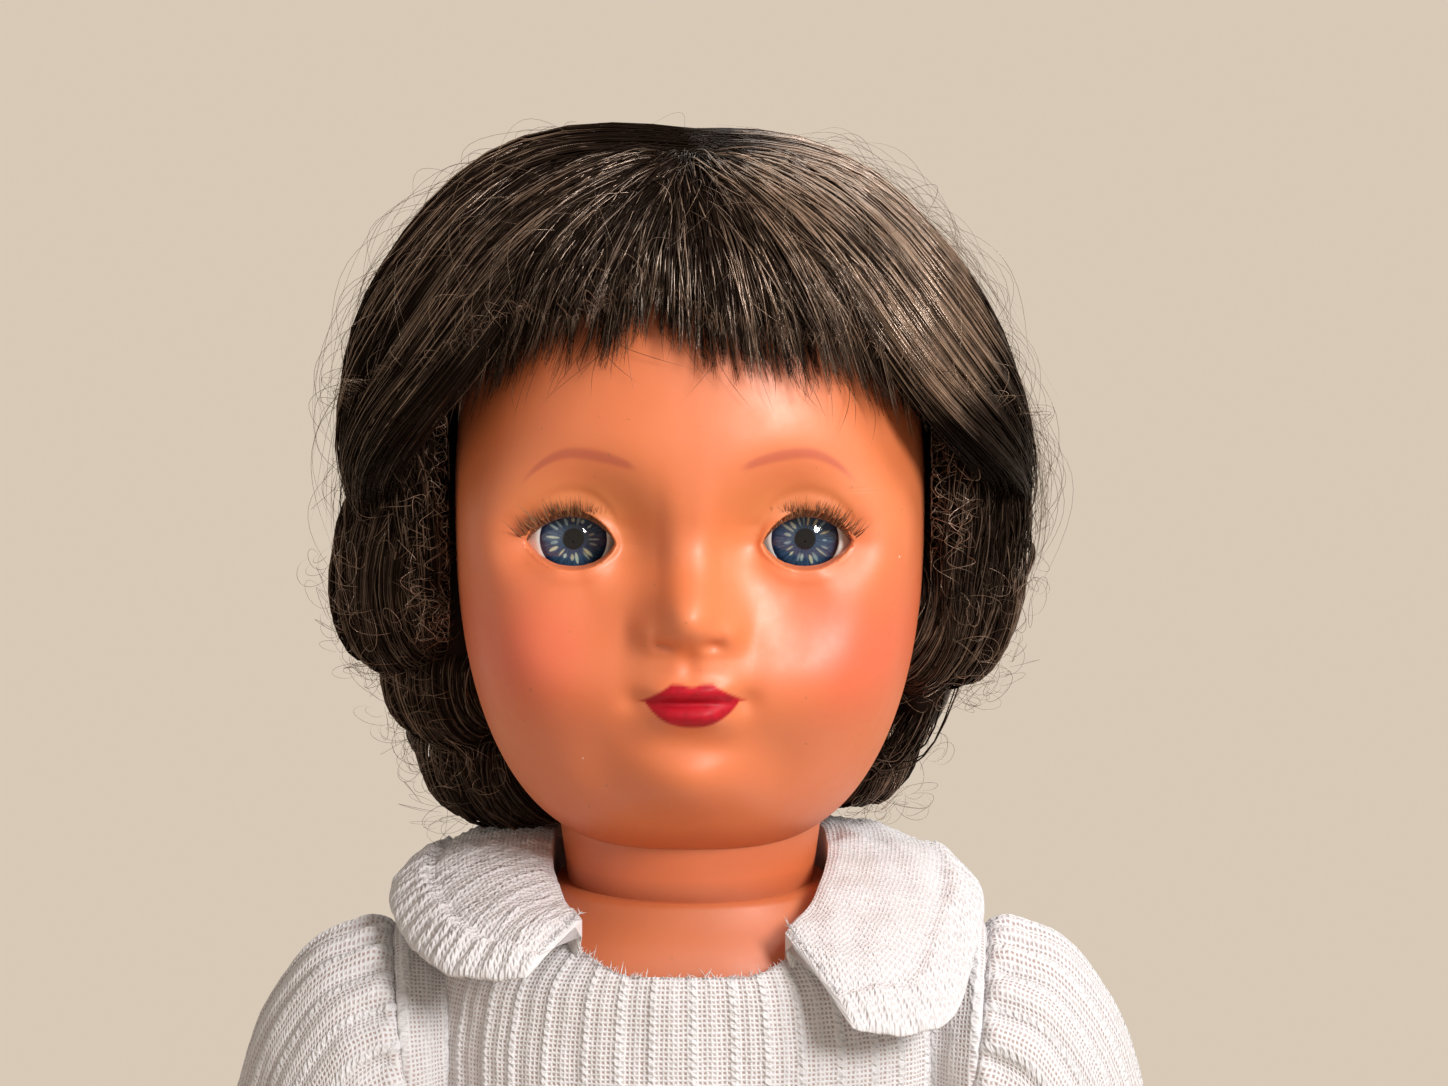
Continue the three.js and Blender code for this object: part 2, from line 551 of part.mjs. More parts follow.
// The neck hangs by a wooden button and a wire hook.
const buttonZ = NECK_RING_HEIGHT - SOCKET_DEPTH + HEAD_WALL + 1.3;
const button = bar('z', 8.5, 3, 0, NECK_Y, buttonZ + 1.5, 16)
  .subtract(bar('z', HOOK_RADIUS + 2 * GAP, 9, 0, NECK_Y, buttonZ, 10));
piece('neck_button', button, [0xb98f5e, 0.7, 0], headGroup);
const hookTop = buttonZ + 3 + GAP + HOOK_RADIUS;
const HOOK_LOW = NECK_RING_HEIGHT - 22;
const HOOK_BEND = CORD_RADIUS + GAP + HOOK_RADIUS;
const hookPath = [vec(-6, NECK_Y, hookTop), vec(-2.4, NECK_Y, hookTop), vec(-0.4, NECK_Y, hookTop - 0.5)];
hookPath.push(vec(0, NECK_Y, hookTop - 2));
hookPath.push(vec(0, NECK_Y, mix(hookTop, HOOK_LOW, 0.5)));
for (let i = 0; i <= 6; i += 1) {
  const turn = Math.PI * i / 6;
  const y = NECK_Y + HOOK_BEND * (1 - Math.cos(turn));
  hookPath.push(vec(0, y, HOOK_LOW - HOOK_BEND * Math.sin(turn)));
}
piece('neck_hook', cord(hookPath, HOOK_RADIUS, 18, 6), STEEL, headGroup);

// Rows of the torso: height, half width, depth to the front, depth to the back, middle Y.
const TORSO_ROWS = [
  [HIP_HEIGHT - 27, 8, 9, 10, HIP_Y],
  [HIP_HEIGHT - 24, 20, 19, 22, HIP_Y],
  [HIP_HEIGHT - 14, 33, 29, 31, HIP_Y],
  [HIP_HEIGHT, HIP_HALF_WIDTH, 33, 33, HIP_Y],
  [HIP_HEIGHT + 14, HIP_HALF_WIDTH, 30, 31, HIP_Y],
  [HIP_HEIGHT + 20, HIP_HALF_WIDTH - 1, 27, 29, HIP_Y],
  [HIP_HEIGHT + 34, WAIST_HALF_WIDTH + 2, 31, 26, 0],
  [WAIST_HEIGHT, WAIST_HALF_WIDTH, 31, 24, 0],
  [mix(WAIST_HEIGHT, SHOULDER_HEIGHT, 0.4), WAIST_HALF_WIDTH + 1.5, 29, 24, 0],
  [mix(WAIST_HEIGHT, SHOULDER_HEIGHT, 0.75), SHOULDER_HALF_WIDTH - 1.4, 28.5, 25, 0],
  [SHOULDER_HEIGHT - 3, SHOULDER_HALF_WIDTH, 27, 25, 0],
  [SHOULDER_HEIGHT + 9, SHOULDER_HALF_WIDTH - 0.5, 25.5, 25, 0],
  [NECK_RING_HEIGHT - 11, SHOULDER_HALF_WIDTH - 3.5, 25, 24, 0.5],
  [NECK_RING_HEIGHT - 6, SHOULDER_HALF_WIDTH - 10.5, 24, 23, 1.5],
  [NECK_RING_HEIGHT - 2, NECK_RADIUS + 4.5, 22.5, 22.5, NECK_Y],
  [NECK_RING_HEIGHT + 0.6, NECK_RADIUS + 1.7, 20.7, 20.7, NECK_Y],
];
function torsoForm(grow, columns, rows = TORSO_ROWS) {
  const lift = (z, i) => (i >= rows.length - 5 ? grow : 0) - (i === 0 ? grow : 0);
  return solid(loft(rows.map(([z, w, f, b, y], i) => oval(
    z + lift(z, i), w + grow, f + grow, b + grow, columns, 0, y, 2.3))));
}
// Room for the thighs: the turning disc at the hip, the lap in front and the seat below.
function hipRoom(extra) {
  const reach = HIP_DISC + RUN + extra;
  const middle = CROTCH_HALF_WIDTH + 30 - extra;
  let room = bar('x', reach, 60, middle, HIP_Y, HIP_HEIGHT, 20);
  room = room.add(block(60, 60, 70 + reach, middle, HIP_Y - 30, HIP_HEIGHT + (reach - 70) / 2));
  room = room.add(block(60, 80, 70, middle, HIP_Y, HIP_HEIGHT - 35));
  return room.add(room.mirror([1, 0, 0]));
}
const socketRoom = neckForm(RUN, RUN, 18);
const socketWall = neckForm(RUN + TORSO_WALL, RUN + TORSO_WALL, 12);
const torsoHollow = torsoForm(-TORSO_WALL, 12).subtract(hipRoom(TORSO_WALL)).subtract(socketWall)
  .subtract(above(NECK_RING_HEIGHT - 3));
let torso = torsoForm(0, 18).subtract(hipRoom(0)).subtract(torsoHollow).subtract(socketRoom);
torso = torso.subtract(bar('z', HOOK_HOLE + 2, 20, 0, NECK_Y, NECK_RING_HEIGHT - SOCKET_DEPTH, 14));
torso = torso.subtract(bar('x', ARM_HOLE, 120, 0, SHOULDER_Y, SHOULDER_HEIGHT, 12));
torso = torso.subtract(bar('x', ARM_HOLE, 40, 0, HIP_Y, HIP_HEIGHT, 12));
for (const side of [-1, 1]) {
  torso = torso.subtract(ball(SHOULDER_BALL + RUN, side * SHOULDER_X, SHOULDER_Y, SHOULDER_HEIGHT, 12));
}
piece('torso_shell', torso, SKIN, torsoGroup);

// One arm hangs from its shoulder at the origin; rows give a share of its length to the wrist,
// the middle Y and the half sizes.
const ARM_ROWS = [
  [0.03, 0, 11.6, 12], [0.2, 0, 11.5, 11.8], [0.37, 0, 11, 11.1], [0.51, -0.5, 10.5, 10.4],
  [0.66, -2, 10.2, 10], [0.81, -5, 8.6, 8.4], [0.92, -8, 6.4, 6.8], [1, -10, 4.4, 7.6],
];
// Fingers from the first to the little one: Y, length below the wrist and radius.
const FINGERS = [[-16.4, 26, 2.1], [-12.5, 29, 2.2], [-8.5, 28, 2.2], [-4.8, 24, 1.9]];
const ARM_CUP = 5;
const PIN_INSET = 4.5;
const pinX = -SHOULDER_BALL + PIN_INSET + 2;
function armForm() {
  const wrist = -ARM_LENGTH;
  let arm = solid(loft(ARM_ROWS.map(([share, y, w, d]) => oval(share * wrist, w, d, d, 10, 0, y, 2))));
  const palm = new THREE.SphereGeometry(1, 8, 6).scale(4.6, 8.6, 12).translate(-0.6, -10.6, wrist - 5);
  arm = arm.add(solid(palm));
  const digit = (points, radius) => {
    const [root, middle, tip] = points;
    const end = tip.clone().add(vec(0, 0, -0.8 * radius));
    const round = (p, r) => oval(p.z, r, r, r, 6, p.x, p.y, 2);
    const rings = [round(root, radius), round(middle, radius), round(tip, 0.95 * radius)];
    return solid(loft([...rings, round(end, 0.5 * radius)]));
  };
  for (const [y, length, radius] of FINGERS) {
    const line = [vec(-0.6, y * 0.94 - 0.6, wrist - 7), vec(-1.2, y, wrist - 17), vec(-3, y, wrist - length)];
    arm = arm.add(digit(line, radius));
  }
  const thumb = [vec(-0.6, -14, wrist + 2), vec(-1.8, -20, wrist - 5), vec(-3.4, -21.5, wrist - 12)];
  arm = arm.add(digit(thumb, 2.5));
  arm = arm.rotate([0, -ARM_SPREAD * 180 / Math.PI, 0]);
  arm = arm.add(ball(SHOULDER_BALL, 0, 0, 0, 14));
  const cupDepth = SHOULDER_BALL - PIN_INSET + 4;
  arm = arm.subtract(bar('x', ARM_CUP, cupDepth, -SHOULDER_BALL + cupDepth / 2 - 1, 0, 0, 12));
  return arm.subtract(bar('z', PIN_RADIUS + GAP, 2 * (ARM_CUP + 2.5), pinX, 0, 0, 8));
}
for (const [name, side] of [['right', -1], ['left', 1]]) {
  const shoulder = group(`arm_${name}_group`, torsoGroup);
  shoulder.position.set(side * SHOULDER_X, SHOULDER_Y, SHOULDER_HEIGHT);
  shoulder.scale.x = side;
  piece(`arm_${name}`, armForm(), SKIN, shoulder);
  piece(`arm_pin_${name}`, bar('z', PIN_RADIUS, 2 * (ARM_CUP + 2), pinX, 0, 0, 8), STEEL, shoulder);
}

const HIP_FACE = CROTCH_HALF_WIDTH + RUN + 0.2;
// Rows of a leg: height, inner side, outer side, depth to the front and to the back.
const LEG_ROWS = [
  [HIP_HEIGHT - 6, HIP_FACE + 0.4, LEG_OUTER, 22.6, 22.6],
  [HIP_HEIGHT - 22, HIP_FACE + 0.2, LEG_OUTER + 0.5, 22.6, 22],
  [HIP_HEIGHT - 35, HIP_FACE, LEG_OUTER + 0.5, 22.2, 21.5],
  [HIP_HEIGHT - 53, LEG_X - 18, LEG_OUTER, 21.5, 20.5],
  [mix(KNEE_HEIGHT, HIP_HEIGHT, 0.24), LEG_X - 18.4, LEG_OUTER - 2, 19.5, 18.5],
  [KNEE_HEIGHT + 4, LEG_X - 16, LEG_OUTER - 4, 17.4, 16],
  [KNEE_HEIGHT - 13, LEG_X - 15.4, LEG_OUTER - 4.6, 15.6, 16.5],
  [mix(ANKLE_HEIGHT, KNEE_HEIGHT, 0.56), LEG_X - 15.4, LEG_OUTER - 5, 14.8, 17],
  [mix(ANKLE_HEIGHT, KNEE_HEIGHT, 0.25), LEG_X - 12.4, LEG_OUTER - 8, 12.5, 14.5],
  [ANKLE_HEIGHT, LEG_X - 10.2, LEG_OUTER - 10.3, 10.6, 12.4],
  [ANKLE_HEIGHT - 13, LEG_X - 10.4, LEG_OUTER - 10, 11.5, 13.5],
  [3, LEG_X - 9.5, LEG_OUTER - 10.8, 11, 12],
];
// Cross sections of the foot from heel to toes: Y, half width, height.
const FOOT_ROWS = [
  [HEEL_BACK, 5, 9], [HEEL_BACK - 4, 9.4, 16], [HEEL_BACK - 14, 10.8, 24], [HEEL_BACK - 28, 11, 25],
  [FOOT_FRONT + 20, 12.6, 18.5], [FOOT_FRONT + 9, 13.6, 13], [FOOT_FRONT, 12.4, 8.4],
];
function footRing(y, w, h) {
  return Array.from({ length: 14 }, (_, i) => {
    const turn = Math.PI * i / 9;
    if (i > 9) return vec(LEG_X + mix(-w * 0.8, w * 0.8, (i - 10) / 3), y, -2);
    return vec(LEG_X + w * Math.cos(turn), y, -0.2 + h * Math.sin(turn));
  });
}
// The moulded leg is hollow; its hollow opens into the cup at the hip.
function legHollow() {
  const top = [
    [HIP_HEIGHT + 1, HIP_FACE + 8, LEG_OUTER - 5, 8, 8],
    [HIP_HEIGHT - 10, HIP_FACE + 8, LEG_OUTER - 3, 17, 17],
    [HIP_HEIGHT - 22, HIP_FACE + 5, LEG_OUTER - LEG_WALL, 19, 19],
  ];
  const rest = LEG_ROWS.slice(2, 10).map(([z, inner, outer, f, b]) => (
    [z, inner + LEG_WALL, outer - LEG_WALL, f - LEG_WALL, b - LEG_WALL]));
  return solid(loft([...top, ...rest].map(([z, inner, outer, f, b]) => oval(
    z, (outer - inner) / 2, f, b, 6, (outer + inner) / 2, HIP_Y, 2.15))));
}
function legForm() {
  const edge = HIP_FACE;
  const side = LEG_OUTER - edge;
  const disc = turned([
    [0, edge], [HIP_DISC - 3, edge], [HIP_DISC - 0.8, edge + 1.4], [HIP_DISC, edge + 6],
    [HIP_DISC - 0.6, edge + 0.5 * side], [HIP_DISC - 4.5, edge + 0.8 * side],
    [HIP_DISC - 11, LEG_OUTER - 1.6], [0, LEG_OUTER],
  ], 16);
  disc.rotateY(Math.PI / 2);
  let leg = solid(disc.translate(0, HIP_Y, HIP_HEIGHT));
  const shank = LEG_ROWS.map(([z, inner, outer, f, b]) => oval(
    z, (outer - inner) / 2, f, b, 12, (outer + inner) / 2, HIP_Y, 2.15));
  leg = leg.add(solid(loft(shank))).add(solid(loft(FOOT_ROWS.map(([y, w, h]) => footRing(y, w, h)))));
  for (let i = 0; i < 5; i += 1) {
    const r = [4.3, 3.4, 3.2, 3, 2.8][i];
    const toe = new THREE.SphereGeometry(1, 6, 5).scale(r * 0.82, r * 1.5, r);
    const x = LEG_X + [-9.2, -3.6, 1.6, 6.2, 10.2][i];
    leg = leg.add(solid(toe.translate(x, FOOT_FRONT - 1 + 0.32 * (x - LEG_X), r - 0.2)));
  }
  leg = leg.subtract(block(200, 200, 100, 0, 0, -50)).subtract(legHollow());
  leg = leg.subtract(bar('x', ARM_CUP, 18, HIP_FACE, HIP_Y, HIP_HEIGHT, 12));
  return leg.subtract(bar('z', PIN_RADIUS + GAP, 2 * (ARM_CUP + 2.5), HIP_FACE + 5, HIP_Y, HIP_HEIGHT, 8));
}
for (const [name, side] of [['right', -1], ['left', 1]]) {
  const hip = group(`leg_${name}_group`, torsoGroup);
  hip.scale.x = side;
  piece(`leg_${name}`, legForm(), SKIN, hip);
  const pin = bar('z', PIN_RADIUS, 2 * (ARM_CUP + 2), HIP_FACE + 5, HIP_Y, HIP_HEIGHT, 8);
  piece(`leg_pin_${name}`, pin, STEEL, hip);
}

// Elastic cords, each with an eye round the pin at either end.
const EYE_TURN = PIN_RADIUS + GAP + CORD_RADIUS;
function cordEye(x, y, z) {
  const rings = Array.from({ length: 12 }, (_, i) => Array.from({ length: 6 }, (_, k) => {
    const turn = TAU * i / 12;
    const r = EYE_TURN + CORD_RADIUS * Math.cos(TAU * k / 6);
    return vec(x + r * Math.cos(turn), y + r * Math.sin(turn), z + CORD_RADIUS * Math.sin(TAU * k / 6));
  }));
  return solid(loft(rings, true));
}
const armPinX = SHOULDER_X + pinX;
const armRun = bar('x', CORD_RADIUS, 2 * (armPinX - EYE_TURN), 0, SHOULDER_Y, SHOULDER_HEIGHT, 6);
const armCord = armRun.add(cordEye(armPinX, SHOULDER_Y, SHOULDER_HEIGHT))
  .add(cordEye(-armPinX, SHOULDER_Y, SHOULDER_HEIGHT));
piece('arm_elastic', armCord, ELASTIC, torsoGroup);

const legPinX = HIP_FACE + 5;
const apexY = NECK_Y + HOOK_BEND;
// From the hip each run turns up inside the torso and meets the other in the neck hook.
const turnX = CROTCH_HALF_WIDTH - 6.8;
const halfRun = (side) => [
  vec(side * (legPinX - EYE_TURN), HIP_Y, HIP_HEIGHT), vec(side * (turnX + 3.8), HIP_Y, HIP_HEIGHT + 0.2),
  vec(side * (turnX + 1.8), HIP_Y, HIP_HEIGHT + 1), vec(side * (turnX + 0.4), HIP_Y, HIP_HEIGHT + 4),
  vec(side * turnX, HIP_Y, HIP_HEIGHT + 10), vec(side * 4.4, apexY, HOOK_LOW - 12),
  vec(side * 4, apexY, HOOK_LOW - 4), vec(side * 3, apexY, HOOK_LOW - 1), vec(side * 1.8, apexY, HOOK_LOW),
];
function sweep(points, radius, sides) {
  return solid(loft(points.map((p, i) => {
    const ahead = points[Math.min(i + 1, points.length - 1)];
    const along = ahead.clone().sub(points[Math.max(i - 1, 0)]).normalize();
    const across = vec(0, 1, 0).cross(along).normalize();
    const up = along.clone().cross(across);
    return Array.from({ length: sides }, (_, k) => p.clone()
      .addScaledVector(across, radius * Math.cos(TAU * k / sides))
      .addScaledVector(up, radius * Math.sin(TAU * k / sides)));
  })));
}
const legRun = [...halfRun(-1), ...halfRun(1).reverse()];
const legCord = sweep(legRun, CORD_RADIUS, 6).add(cordEye(legPinX, HIP_Y, HIP_HEIGHT))
  .add(cordEye(-legPinX, HIP_Y, HIP_HEIGHT));
piece('leg_elastic', legCord, ELASTIC, torsoGroup);

// The dress: a bodice over the torso, open down the back.
const BODICE_LOW = WAIST_HEIGHT - 2;
const bodiceRows = TORSO_ROWS.slice(6);
const NECKLINE_X = 25;
const NECKLINE_Y = 27;
const NECKLINE_DROP = 12;
const ARMHOLE = 16.5;
const neckOpening = solid(new THREE.CylinderGeometry(1, 1, 80, 28).rotateX(Math.PI / 2)
  .scale(NECKLINE_X, NECKLINE_Y, 1).translate(0, 1, NECK_RING_HEIGHT - NECKLINE_DROP + 40));
let bodice = torsoForm(RUN + CLOTH, 18, bodiceRows).subtract(torsoForm(RUN, 18, bodiceRows));
bodice = bodice.subtract(block(200, 200, 100, 0, 0, BODICE_LOW - 50)).subtract(neckOpening)
  .subtract(bar('x', ARMHOLE, 200, 0, SHOULDER_Y, SHOULDER_HEIGHT, 20));
const half = (x, y, w, d) => block(w, d, 400, x, y, SHOULDER_HEIGHT);
piece('bodice_front', bodice.intersect(half(0, -50 - GAP / 2, 200, 100)), COTTON, dressGroup);
const backHalf = bodice.intersect(half(50 + GAP / 2, 50 + GAP / 2, 100, 100));
piece('bodice_back_left', backHalf, COTTON, dressGroup);
piece('bodice_back_right', backHalf.mirror([1, 0, 0]), COTTON, dressGroup);

// Three buttons down the back opening, each on the left edge of the cloth.
for (let i = 0; i < 3; i += 1) {
  const z = mix(BODICE_LOW + 18, SHOULDER_HEIGHT - 6, i / 2);
  const disc = turned([[0, 0], [3.6, 0], [4, 0.6], [3.4, 1.5], [2.6, 1], [0, 1]], 12);
  disc.rotateX(-Math.PI / 2);
  let knob = solid(disc);
  for (const x of [-0.9, 0.9]) knob = knob.subtract(bar('y', 0.5, 9, x, 0, 0, 5));
  const backY = backOf(z) + RUN + CLOTH + GAP;
  piece(`button_${i + 1}`, knob.translate([4.6, backY, z]), [0xf3efe4, 0.35, 0], dressGroup);
}
function backOf(z) {
  for (let i = 1; i < TORSO_ROWS.length; i += 1) {
    const [low, , , lowBack, lowY] = TORSO_ROWS[i - 1];
    const [high, , , highBack, highY] = TORSO_ROWS[i];
    if (z <= high) return mix(lowBack + lowY, highBack + highY, (z - low) / (high - low));
  }
  return 0;
}

// A collar half lies from the neck to the shoulder, round from the front to the middle of the back.
const COLLAR_IN = [NECKLINE_X - 1, NECKLINE_Y - 1.5];
const COLLAR_OUT = [SHOULDER_HALF_WIDTH + 6.5, 36];
const COLLAR_LOW = SHOULDER_HEIGHT + SLEEVE_RISE + 3;
const COLLAR_FRONT = -56 * Math.PI / 180;
const COLLAR_BACK = 88 * Math.PI / 180;
function collarForm() {
  const rings = Array.from({ length: 13 }, (_, i) => {
    const turn = mix(COLLAR_FRONT, COLLAR_BACK, i / 12);
    const s = Math.sin(turn);
    const end = Math.min(1, 4 * Math.min(i, 12 - i) / 12 + 0.32);
    const puff = COLLAR_PUFF * Math.sqrt(end);
    const inner = vec(COLLAR_IN[0] * Math.cos(turn), 1 + COLLAR_IN[1] * s, NECK_RING_HEIGHT + 2.7 + 1.5 * s);
    const outer = vec(COLLAR_OUT[0] * Math.cos(turn), COLLAR_OUT[1] * s, COLLAR_LOW);
    outer.z -= s < 0 ? 4 * s ** 2 : 3 * s ** 2;
    const reach = s < 0 ? mix(1, 0.8, ease(-0.6, -1, s) * (1 - end)) : 1;
    return Array.from({ length: 8 }, (_, k) => {
      const t = TAU * k / 8;
      const across = 0.5 - 0.5 * Math.cos(t);
      const p = inner.clone().lerp(outer, across * reach);
      p.z += 1.4 * Math.sin(Math.PI * across) + puff * Math.sin(t);
      return p;
    });
  });
  return solid(loft(rings));
}
const collar = collarForm();
piece('collar_left', collar, COTTON, dressGroup);
piece('collar_right', collar.mirror([1, 0, 0]), COTTON, dressGroup);

// A puffed sleeve: each row has its upper and its lower edge in X and Z, from the shoulder's
// middle, and its half depth.
const SLEEVE_ROWS = [
  [-15, SLEEVE_RISE, -15, -17, 17.5], [-2, SLEEVE_RISE - 0.5, -9.8, -19, 19],
  [6, SLEEVE_RISE - 4, -9.6, -21.5, 19.6],
  [14, 5, -9.6, -25, 19.6], [18.5, -11, -9.2, -32, 18.8], [22, -29, -7, -41.5, 17.4],
  [23.8, -43, -2.2, -51.5, 13.6], [23.4, -50, -0.8, -57.5, 12.9],
];
function sleeveForm(inset, folds) {
  return solid(loft(SLEEVE_ROWS.map(([ux, uz, lx, lz, depth], i) => {
    const upper = vec(SHOULDER_X + ux, SHOULDER_Y, SHOULDER_HEIGHT + uz);
    const lower = vec(SHOULDER_X + lx, SHOULDER_Y, SHOULDER_HEIGHT + lz);
    const middle = upper.clone().add(lower).multiplyScalar(0.5);
    const radius = upper.distanceTo(lower) / 2;
    const up = upper.clone().sub(middle).normalize();
    const along = i === 0 ? vec(-1, 0, 0) : vec(0, 0, 0);
    if (i === SLEEVE_ROWS.length - 1) along.set(up.z * 0.2, 0, -1);
    const start = middle.clone().addScaledVector(along, inset > 0 ? 3 : 0);
    return Array.from({ length: 16 }, (_, k) => {
      const turn = TAU * k / 16;
      const ripple = folds * Math.cos(8 * turn) * Math.max(0, Math.cos(turn));
      const p = start.clone().addScaledVector(up, (radius - inset + ripple) * Math.cos(turn));
      p.y += (depth - inset + ripple) * Math.sin(turn);
      return p;
    });
  })));
}
const sleeve = sleeveForm(0, 0.7).subtract(sleeveForm(SLEEVE_CLOTH, 0.7));
const clearOfBodice = torsoForm(RUN + CLOTH + GAP, 18, bodiceRows);
const sleeveLeft = sleeve.subtract(clearOfBodice);
piece('sleeve_left', sleeveLeft, COTTON, dressGroup);
piece('sleeve_right', sleeveLeft.mirror([1, 0, 0]), COTTON, dressGroup);

// Each skirt half hangs from the bodice in folds, from the middle of the front to the middle of the back.
const [, waistW, waistF, waistB] = TORSO_ROWS[7];
function skirtForm() {
  const columns = SKIRT_FOLDS * 5;
  const wall = (t, inset) => Array.from({ length: columns + 1 }, (_, k) => {
    const turn = mix(-Math.PI / 2, Math.PI / 2, k / columns);
    const fold = FOLD_DEPTH * t ** 0.8 * Math.cos(TAU * SKIRT_FOLDS * k / columns);
    const grow = RUN + CLOTH - inset;
    const spread = t ** 0.75;
    const w = mix(waistW + grow, SKIRT_HALF_WIDTH - inset, spread) + fold;
    const depth = turn < 0 ? mix(waistF + grow, SKIRT_HALF_WIDTH - 8 - inset, spread)
      : mix(waistB + grow, SKIRT_HALF_WIDTH - 10 - inset, spread);
    const c = Math.abs(Math.cos(turn)) ** 0.92;
    const s = Math.sign(turn) * Math.abs(Math.sin(turn)) ** 0.92;
    const x = Math.max(GAP / 2, c * w);
    const z = mix(BODICE_LOW - GAP, HEM_HEIGHT, t);
    return vec(k === 0 || k === columns ? GAP / 2 : x, s * (depth + fold), z);
  });
  const rows = [0, 0.15, 0.45, 1];
  return solid(loft(rows.map((t) => [...wall(t, 0), ...wall(t, SKIRT_CLOTH).reverse()]), false, true));
}
const skirt = skirtForm();
piece('skirt_left', skirt, COTTON, dressGroup);
piece('skirt_right', skirt.mirror([1, 0, 0]), COTTON, dressGroup);

// The origin lies under the middle of the doll's bounding box.
const box = new THREE.Box3().setFromObject(doll, true);
torsoGroup.position.set(-(box.min.x + box.max.x) / 2, -(box.min.y + box.max.y) / 2, -box.min.z);

export default doll;
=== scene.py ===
"""Looks for a strung play doll: moulded skin, sleep eyes, a rolled wig and a ribbed cotton dress.

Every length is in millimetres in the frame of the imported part: +Z up, the doll faces -Y, +X is its own left.
"""
import math

import bmesh
import bpy
import numpy as np
from bpy.props import FloatProperty, FloatVectorProperty, IntProperty, PointerProperty
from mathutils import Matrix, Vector


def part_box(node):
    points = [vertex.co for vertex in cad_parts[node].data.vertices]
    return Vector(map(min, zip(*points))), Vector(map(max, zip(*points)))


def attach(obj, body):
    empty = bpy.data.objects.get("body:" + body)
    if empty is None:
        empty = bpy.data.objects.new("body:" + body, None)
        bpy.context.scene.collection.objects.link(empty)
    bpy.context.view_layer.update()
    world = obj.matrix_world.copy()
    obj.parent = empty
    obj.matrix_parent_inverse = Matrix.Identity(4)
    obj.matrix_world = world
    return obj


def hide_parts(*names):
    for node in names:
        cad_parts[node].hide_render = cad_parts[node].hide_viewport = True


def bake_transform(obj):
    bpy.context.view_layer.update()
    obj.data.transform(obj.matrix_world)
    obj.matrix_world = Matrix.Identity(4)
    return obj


bl_info = {
    "name": "Strung Play Doll",
    "version": (1, 0, 0),
    "blender": (4, 5, 0),
    "location": "View3D > Sidebar > Doll",
    "description": "Dresses the packed doll: skin, sleep eyes, wig, dress and stage",
    "category": "Object",
}

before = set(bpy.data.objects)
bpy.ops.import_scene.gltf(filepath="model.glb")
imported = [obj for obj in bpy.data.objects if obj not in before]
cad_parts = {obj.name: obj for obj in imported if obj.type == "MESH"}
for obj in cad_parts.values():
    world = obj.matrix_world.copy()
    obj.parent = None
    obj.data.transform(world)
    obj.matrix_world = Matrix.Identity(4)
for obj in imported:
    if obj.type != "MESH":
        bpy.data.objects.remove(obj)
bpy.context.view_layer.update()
MM = 0.001
TAU = 2 * math.pi

# The head and what is in it.
CHIN, HEAD_HEIGHT = 389.0, 104.0
HEAD_TOP = CHIN + HEAD_HEIGHT
HEAD_MIDDLE = CHIN + 0.5193 * HEAD_HEIGHT
EYE_HEIGHT = CHIN + 0.5 * HEAD_HEIGHT
MOUTH = CHIN + 0.2837 * HEAD_HEIGHT
PATE = CHIN + 0.817 * HEAD_HEIGHT
NAPE_DROP = 0.3555 * HEAD_HEIGHT
HEAD_HALF_WIDTH, FACE_DEPTH, BACK_DEPTH, HEAD_Y = 36.0, 39.0, 44.0, 3.0
NECK_TOP = HEAD_MIDDLE - NAPE_DROP + 4
HEAD_CENTRE = np.array([0.0, HEAD_Y, HEAD_MIDDLE])
NOSE_TIP = CHIN + 0.426 * HEAD_HEIGHT
EYE_SPREAD = 0.48 * HEAD_HALF_WIDTH
EYE_Y = HEAD_Y + 19.3 - FACE_DEPTH
BROW = EYE_HEIGHT + 14
EYE_RADIUS, IRIS_RADIUS, LID_INSIDE, LID_OUTSIDE, EYE_ROOM, RIM = 9.5, 5.15, 9.85, 10.3, 10.7, 1.3
OPENING, OPENING_UP, OPENING_DOWN, LID_SHOWS = 7.25, 5.1, 3.8, 1.5
# How square the rounded outlines are: the head from above, its crown, and the torso.
HEAD_POWER, CROWN_POWER, TORSO_POWER = 2.25, 2.3, 2.3

# The body under the dress.
NECK_RING, NECK_Y, NECK_RADIUS = 383.0, 4.0, 19.0
SHOULDER, SHOULDER_X, SHOULDER_Y = 356.0, 52.0, -0.5
ARM_BALL, ARM_SOCKET, ARMHOLE, WRIST, ARM_SPREAD = 12.4, 12.9, 13.5, -121.0, -12
HIP, HIP_Y, HIP_DISC, CROTCH, LEG_X = 212.0, 3.0, 24.0, 15.0, 23.0
TORSO_LOW, TORSO_TOP = 185.0, 383.6
SIDES_OF_DOLL = (("right", -1), ("left", 1))

# The dress, the floor, and the most triangles in one piece of hair.
RIB_PITCH, CLOTH_THICKNESS, BODICE_LOW, SKIRT_TOP, HEM = 2.75, 0.45, 266.0, 266.4, 140.0
FLOOR_RADIUS = 1300.0
HAIR_TRIANGLES = 190000


def mix(a, b, t):
    """Part of the way from a to b."""
    return a + (b - a) * t


def ease(low, high, value):
    """A smooth step from 0 at low to 1 at high, which may be the lower number."""
    t = np.clip((value - low) / (high - low), 0, 1)
    return t * t * (3 - 2 * t)


def hump(x, z, cx, cz, sx, sz):
    """A soft round rise at cx and cz that reaches about sx across and sz up."""
    return np.exp(-(((x - cx) / sx) ** 2) - ((z - cz) / sz) ** 2)


def unit(v):
    """Vectors scaled to a length of 1."""
    return v / np.maximum(np.linalg.norm(v, axis=-1, keepdims=True), 1e-9)


